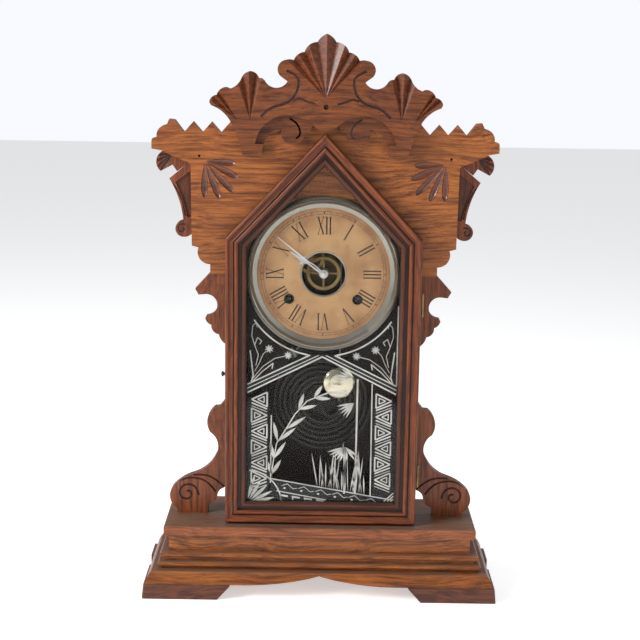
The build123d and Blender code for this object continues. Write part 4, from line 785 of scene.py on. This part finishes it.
# Corner sprigs between the arc and the gable lines
for side in (-1, 1):
    silver_line([(side * 49.7, 239.7), (side * 51.0, 233.6)], 1.1)
    silver_line([(side * 49.7, 239.7), (side * 60.4, 231.0), (side * 72.2, 218.6)], 1.0)
    silver_line([(side * 72.2, 218.6), (side * 69.9, 226.4), (side * 73.2, 252.5)], 1.3)
    silver_line([(side * 38.2, 247.0), (side * 48.0, 244.6), (side * 60.2, 236.0), (side * 70.0, 223.8)], 0.7)
    for flower, reach in (((34.7, 247.9), 4.4), ((53.8, 254.4), 4.6)):
        for petal in range(8):
            turn = petal * math.pi / 4 + 0.2
            leaf((side * flower[0], flower[1]),
                 (side * flower[0] + reach * math.cos(turn), flower[1] + reach * math.sin(turn)), 1.5)
    silver_line([(side * 68.4, 231.0), (side * 63.6, 240.0), (side * 60.2, 248.6), (side * 56.8, 252.0)], 0.6)
    silver_line([(side * 67.4, 236.6), (side * 64.8, 248.0), (side * 68.6, 258.0), (side * 65.8, 266.0),
                 (side * 61.4, 262.6), (side * 63.6, 259.0)], 0.7)
    silver_line([(side * 68.6, 258.0), (side * 71.6, 268.0), (side * 70.6, 278.0), (side * 66.8, 281.6),
                 (side * 66.2, 276.6)], 0.7)
# Leafy spray over the left half
silver_line([(-50.6, 120.9), (-48.5, 138.5), (-45.6, 155.0), (-36.4, 170.0), (-27.0, 186.4), (-14.6, 200.6),
             (9.5, 210.7)], 1.2)
spray = (((-8.1, 203.6), (0.5, 217.0)), ((-23.6, 191.4), (-18.1, 208.6)), ((-8.1, 203.6), (9.4, 203.0)),
         ((6.0, 209.4), (26.1, 209.6)), ((-23.6, 191.4), (-4.7, 196.0)), ((-36.4, 170.0), (-15.6, 184.0)),
         ((-44.6, 157.0), (-48.8, 178.0)), ((-44.6, 157.0), (-26.0, 172.0)),
         ((-48.5, 138.5), (-52.2, 157.0)), ((-48.5, 138.5), (-36.0, 157.0)),
         ((-50.6, 121.5), (-54.0, 135.0)), ((-50.6, 121.5), (-40.7, 138.0)))
for root, tip in spray:
    leaf(root, tip, 4.0)
# Reeds over the right half, and two tall daisies
for index in range(24):
    foot = -3.0 + index * 2.1
    height = 30.0 + 9.0 * math.sin(index * 2.4) + 8.0 * math.cos(index * 0.9) + 6.0 * math.sin(index * 5.1)
    lean = 9.0 * math.sin(index * 1.7 + 2.2) + 6.0 * math.cos(index * 0.55)
    leaf((foot, 108.4 - foot * 0.17), (foot - lean * 0.5, 108.4 + height), 1.3 + 0.5 * math.sin(index * 3.3))
for stem, height, reach, spans in ((24.6, 152.0, 20.0, (196, 208, 222, 236, 250, 150, 134, 174)),
                                   (35.8, 224.0, 0.0, ())):
    silver_line([(stem, 102.0), (stem + 0.6, height)], 1.8)
    for bearing in spans:
        turn = math.radians(bearing)
        leaf((stem + 0.6, height),
             (stem + 0.6 + reach * math.sin(turn), height + reach * 0.8 * math.cos(turn)), 2.4)
for bearing in (206, 218, 230, 244, 258):
    turn = math.radians(bearing)
    leaf((33.0, 199.0), (33.0 + 18.0 * math.sin(turn), 199.0 + 18.0 * math.cos(turn)), 2.2)
for bearing in (262, 276, 292, 308):
    turn = math.radians(bearing)
    leaf((31.0, 226.0), (31.0 + 14.0 * math.sin(turn), 226.0 + 14.0 * math.cos(turn)), 2.0)
# Slanted panel and quarter fan at the bottom
silver_line([(-52.2, 117.4), (74.2, 95.9)], 1.1)
silver_line([(-45.4, 104.2), (6.0, 95.0)], 1.0)
for index in range(6):
    start = -40.0 + index * 17.4
    height = 109.8 - index * 2.9
    silver_line([(start, height), (start + 6, height + 2.0), (start + 12, height - 3.4),
                 (start + 16, height - 2.6)], 0.6)
    stencil.append(flat_shape([((start + 3 + dx) * mm, (height - 2.6 + dz) * mm)
                               for dx, dz in ((0, 1.2), (1.6, 0), (0, -1.2), (-1.6, 0))]))
for index in range(4):
    start = -42.0 + index * 12.6
    silver_line([(start, 99.6 - index * 1.6), (start + 8.4, 98.4 - index * 1.6)], 1.8)
    silver_line([(start + 1, 99.6 - index * 1.6), (start + 1, 94.4)], 1.4)
silver_line(arc_points((-76, 90), 36.0, 4, 84, 10), 1.3)
for bearing in (14, 30, 46, 62, 76):
    turn = math.radians(bearing)
    leaf((-76 + 5 * math.sin(turn), 90 + 5 * math.cos(turn)),
         (-76 + 30 * math.sin(turn), 90 + 30 * math.cos(turn)), 3.6)
for offset in (0, 3.4, 6.8):
    silver_line([(66.0 + offset, 94.4), (75.8, 103.6 - offset)], 1.2)
paint_depth = 0.00006
film(stencil, "stencil_pattern", glass_back + paint_depth, paint_depth, silver, "door")
# Black bands behind the borders: partly black paint, partly painted shade of the dark case behind the clear
# glass.
bands = []
for side in (-1, 1):
    bands.append(flat_shape([(side * 54.0 * mm, 0.208), (side * 82.0 * mm, 0.196),
                             (side * 82.0 * mm, 0.088), (side * 54.0 * mm, 0.088)]))
    bands.append(flat_shape([(0, 0.2477), (side * 13.0 * mm, 0.2485),
                             (side * 82.0 * mm, 0.2150), (side * 82.0 * mm, 0.2046)]))
bands.append(flat_shape([(-0.052, 0.1172), (0.054, 0.0992), (0.054, 0.088), (-0.052, 0.088)]))
film(bands, "stencil_ground_and_shade", glass_back + 0.00007, 0.00005, black_and_shade, "door")

# Hinges and knob: two pressed brass hinges on the right edge and a small turned black wooden knob.
# The brass has gone brown and dull.
finish_with(plain("hinge_brass_aged", (0.30, 0.20, 0.085), 0.9, 0.42, tint=(0.45, 0.4, 0.35), amount=0.4),
            "hinge_case_leaves", "hinge_door_leaves")
finish_with(plain("knob_black", (0.022, 0.017, 0.015), 0.0, 0.28, tint=(1.8, 1.5, 1.3)), "door_knob")

# Movement: an eight-day brass movement between two plates, with coiled steel mainsprings.
# The brass is brown with age, the plates behind the wheels are darkened as painted shade, and the steel is
# grey.
aged_brass = plain("movement_brass_aged", (0.31, 0.215, 0.095), 1.0, 0.36, tint=(0.42, 0.36, 0.30),
                   amount=0.4)
grey_steel = plain("grey_steel", (0.26, 0.25, 0.24), 0.95, 0.38, tint=(0.5, 0.42, 0.36), amount=0.35)
# The plates are a darker brass than the wheels as painted shade behind them.
finish_with(plain("plate_brass_shaded", (0.085, 0.055, 0.025), 0.9, 0.45, tint=(0.5, 0.45, 0.4), amount=0.4),
            "front_plate", "back_plate")
finish_with(aged_brass, "time_great_wheel", "strike_great_wheel", "second_wheel",
            "centre_wheel", "minute_wheel", "hour_wheel", "third_wheel", "strike_second_wheel")
finish_with(grey_steel, "time_winding_arbor", "strike_winding_arbor", "time_mainspring", "strike_mainspring",
            "centre_arbor", "escape_wheel", "verge", "hammer")

# Pendulum and gong: a brass-faced bob on a steel rod, in front of a coiled blued gong on an iron stand.
# The bob is the brightest thing inside the case.
finish_with(plain("bob_brass_worn", (0.70, 0.62, 0.48), 1.0, 0.24, 0.03, tint=(0.85, 0.8, 0.7), amount=0.15,
                  bump_depth=0.000004), "pendulum_bob")
finish_with(grey_steel, "pendulum_rod")
finish_with(plain("gong_steel_blued", (0.065, 0.058, 0.052), 0.8, 0.42, tint=(0.5, 0.4, 0.3)), "gong_coil")
finish_with(plain("gong_iron", (0.045, 0.040, 0.038), 0.6, 0.55), "gong_base")

# Floor and light: a pale plain ground in a white room, with three soft square lights.
# The key is from the upper left and front, a weaker fill from the right, and one from above and behind.
room = bpy.data.worlds.new("room")
room.use_nodes = True
room.node_tree.nodes["Background"].inputs["Color"].default_value = (0.93, 0.95, 1.0, 1)
light_path = room.node_tree.nodes.new("ShaderNodeLightPath")
glow = spread(room.node_tree, light_path.outputs["Is Camera Ray"], 0, 1, 0.30, 1.0)
room.node_tree.links.new(glow, room.node_tree.nodes["Background"].inputs["Strength"])
scene.world = room
bpy.ops.object.select_all(action="DESELECT")
bpy.ops.mesh.primitive_plane_add(size=12)
ground = bpy.context.active_object
ground.name = "floor"
ground.data.materials.append(plain("floor_paint", (0.90, 0.90, 0.89), 0.0, 0.8, tint=(0.97, 0.97, 0.97)))
ground_shader = ground.data.materials[0].node_tree.nodes["Principled BSDF"]
ground_shader.inputs["Emission Color"].default_value = (1, 1, 1, 1)
ground_shader.inputs["Emission Strength"].default_value = 0.5
for name, spot, aim, size, power in (("key", (-1.5, -0.85, 1.1), (0, 0, 0.3), 0.8, 36.0),
                                     ("fill", (1.1, -1.2, 0.7), (0, 0, 0.28), 1.0, 5.0),
                                     ("crown", (0.1, 0.3, 1.7), (0, 0, 0.3), 0.8, 8.0)):
    source = bpy.data.lights.new(name, "AREA")
    source.energy = power
    source.size = size
    lamp = bpy.data.objects.new(name, source)
    lamp.location = spot
    lamp.rotation_euler = (Vector(aim) - Vector(spot)).to_track_quat("-Z", "Y").to_euler()
    scene.collection.objects.link(lamp)
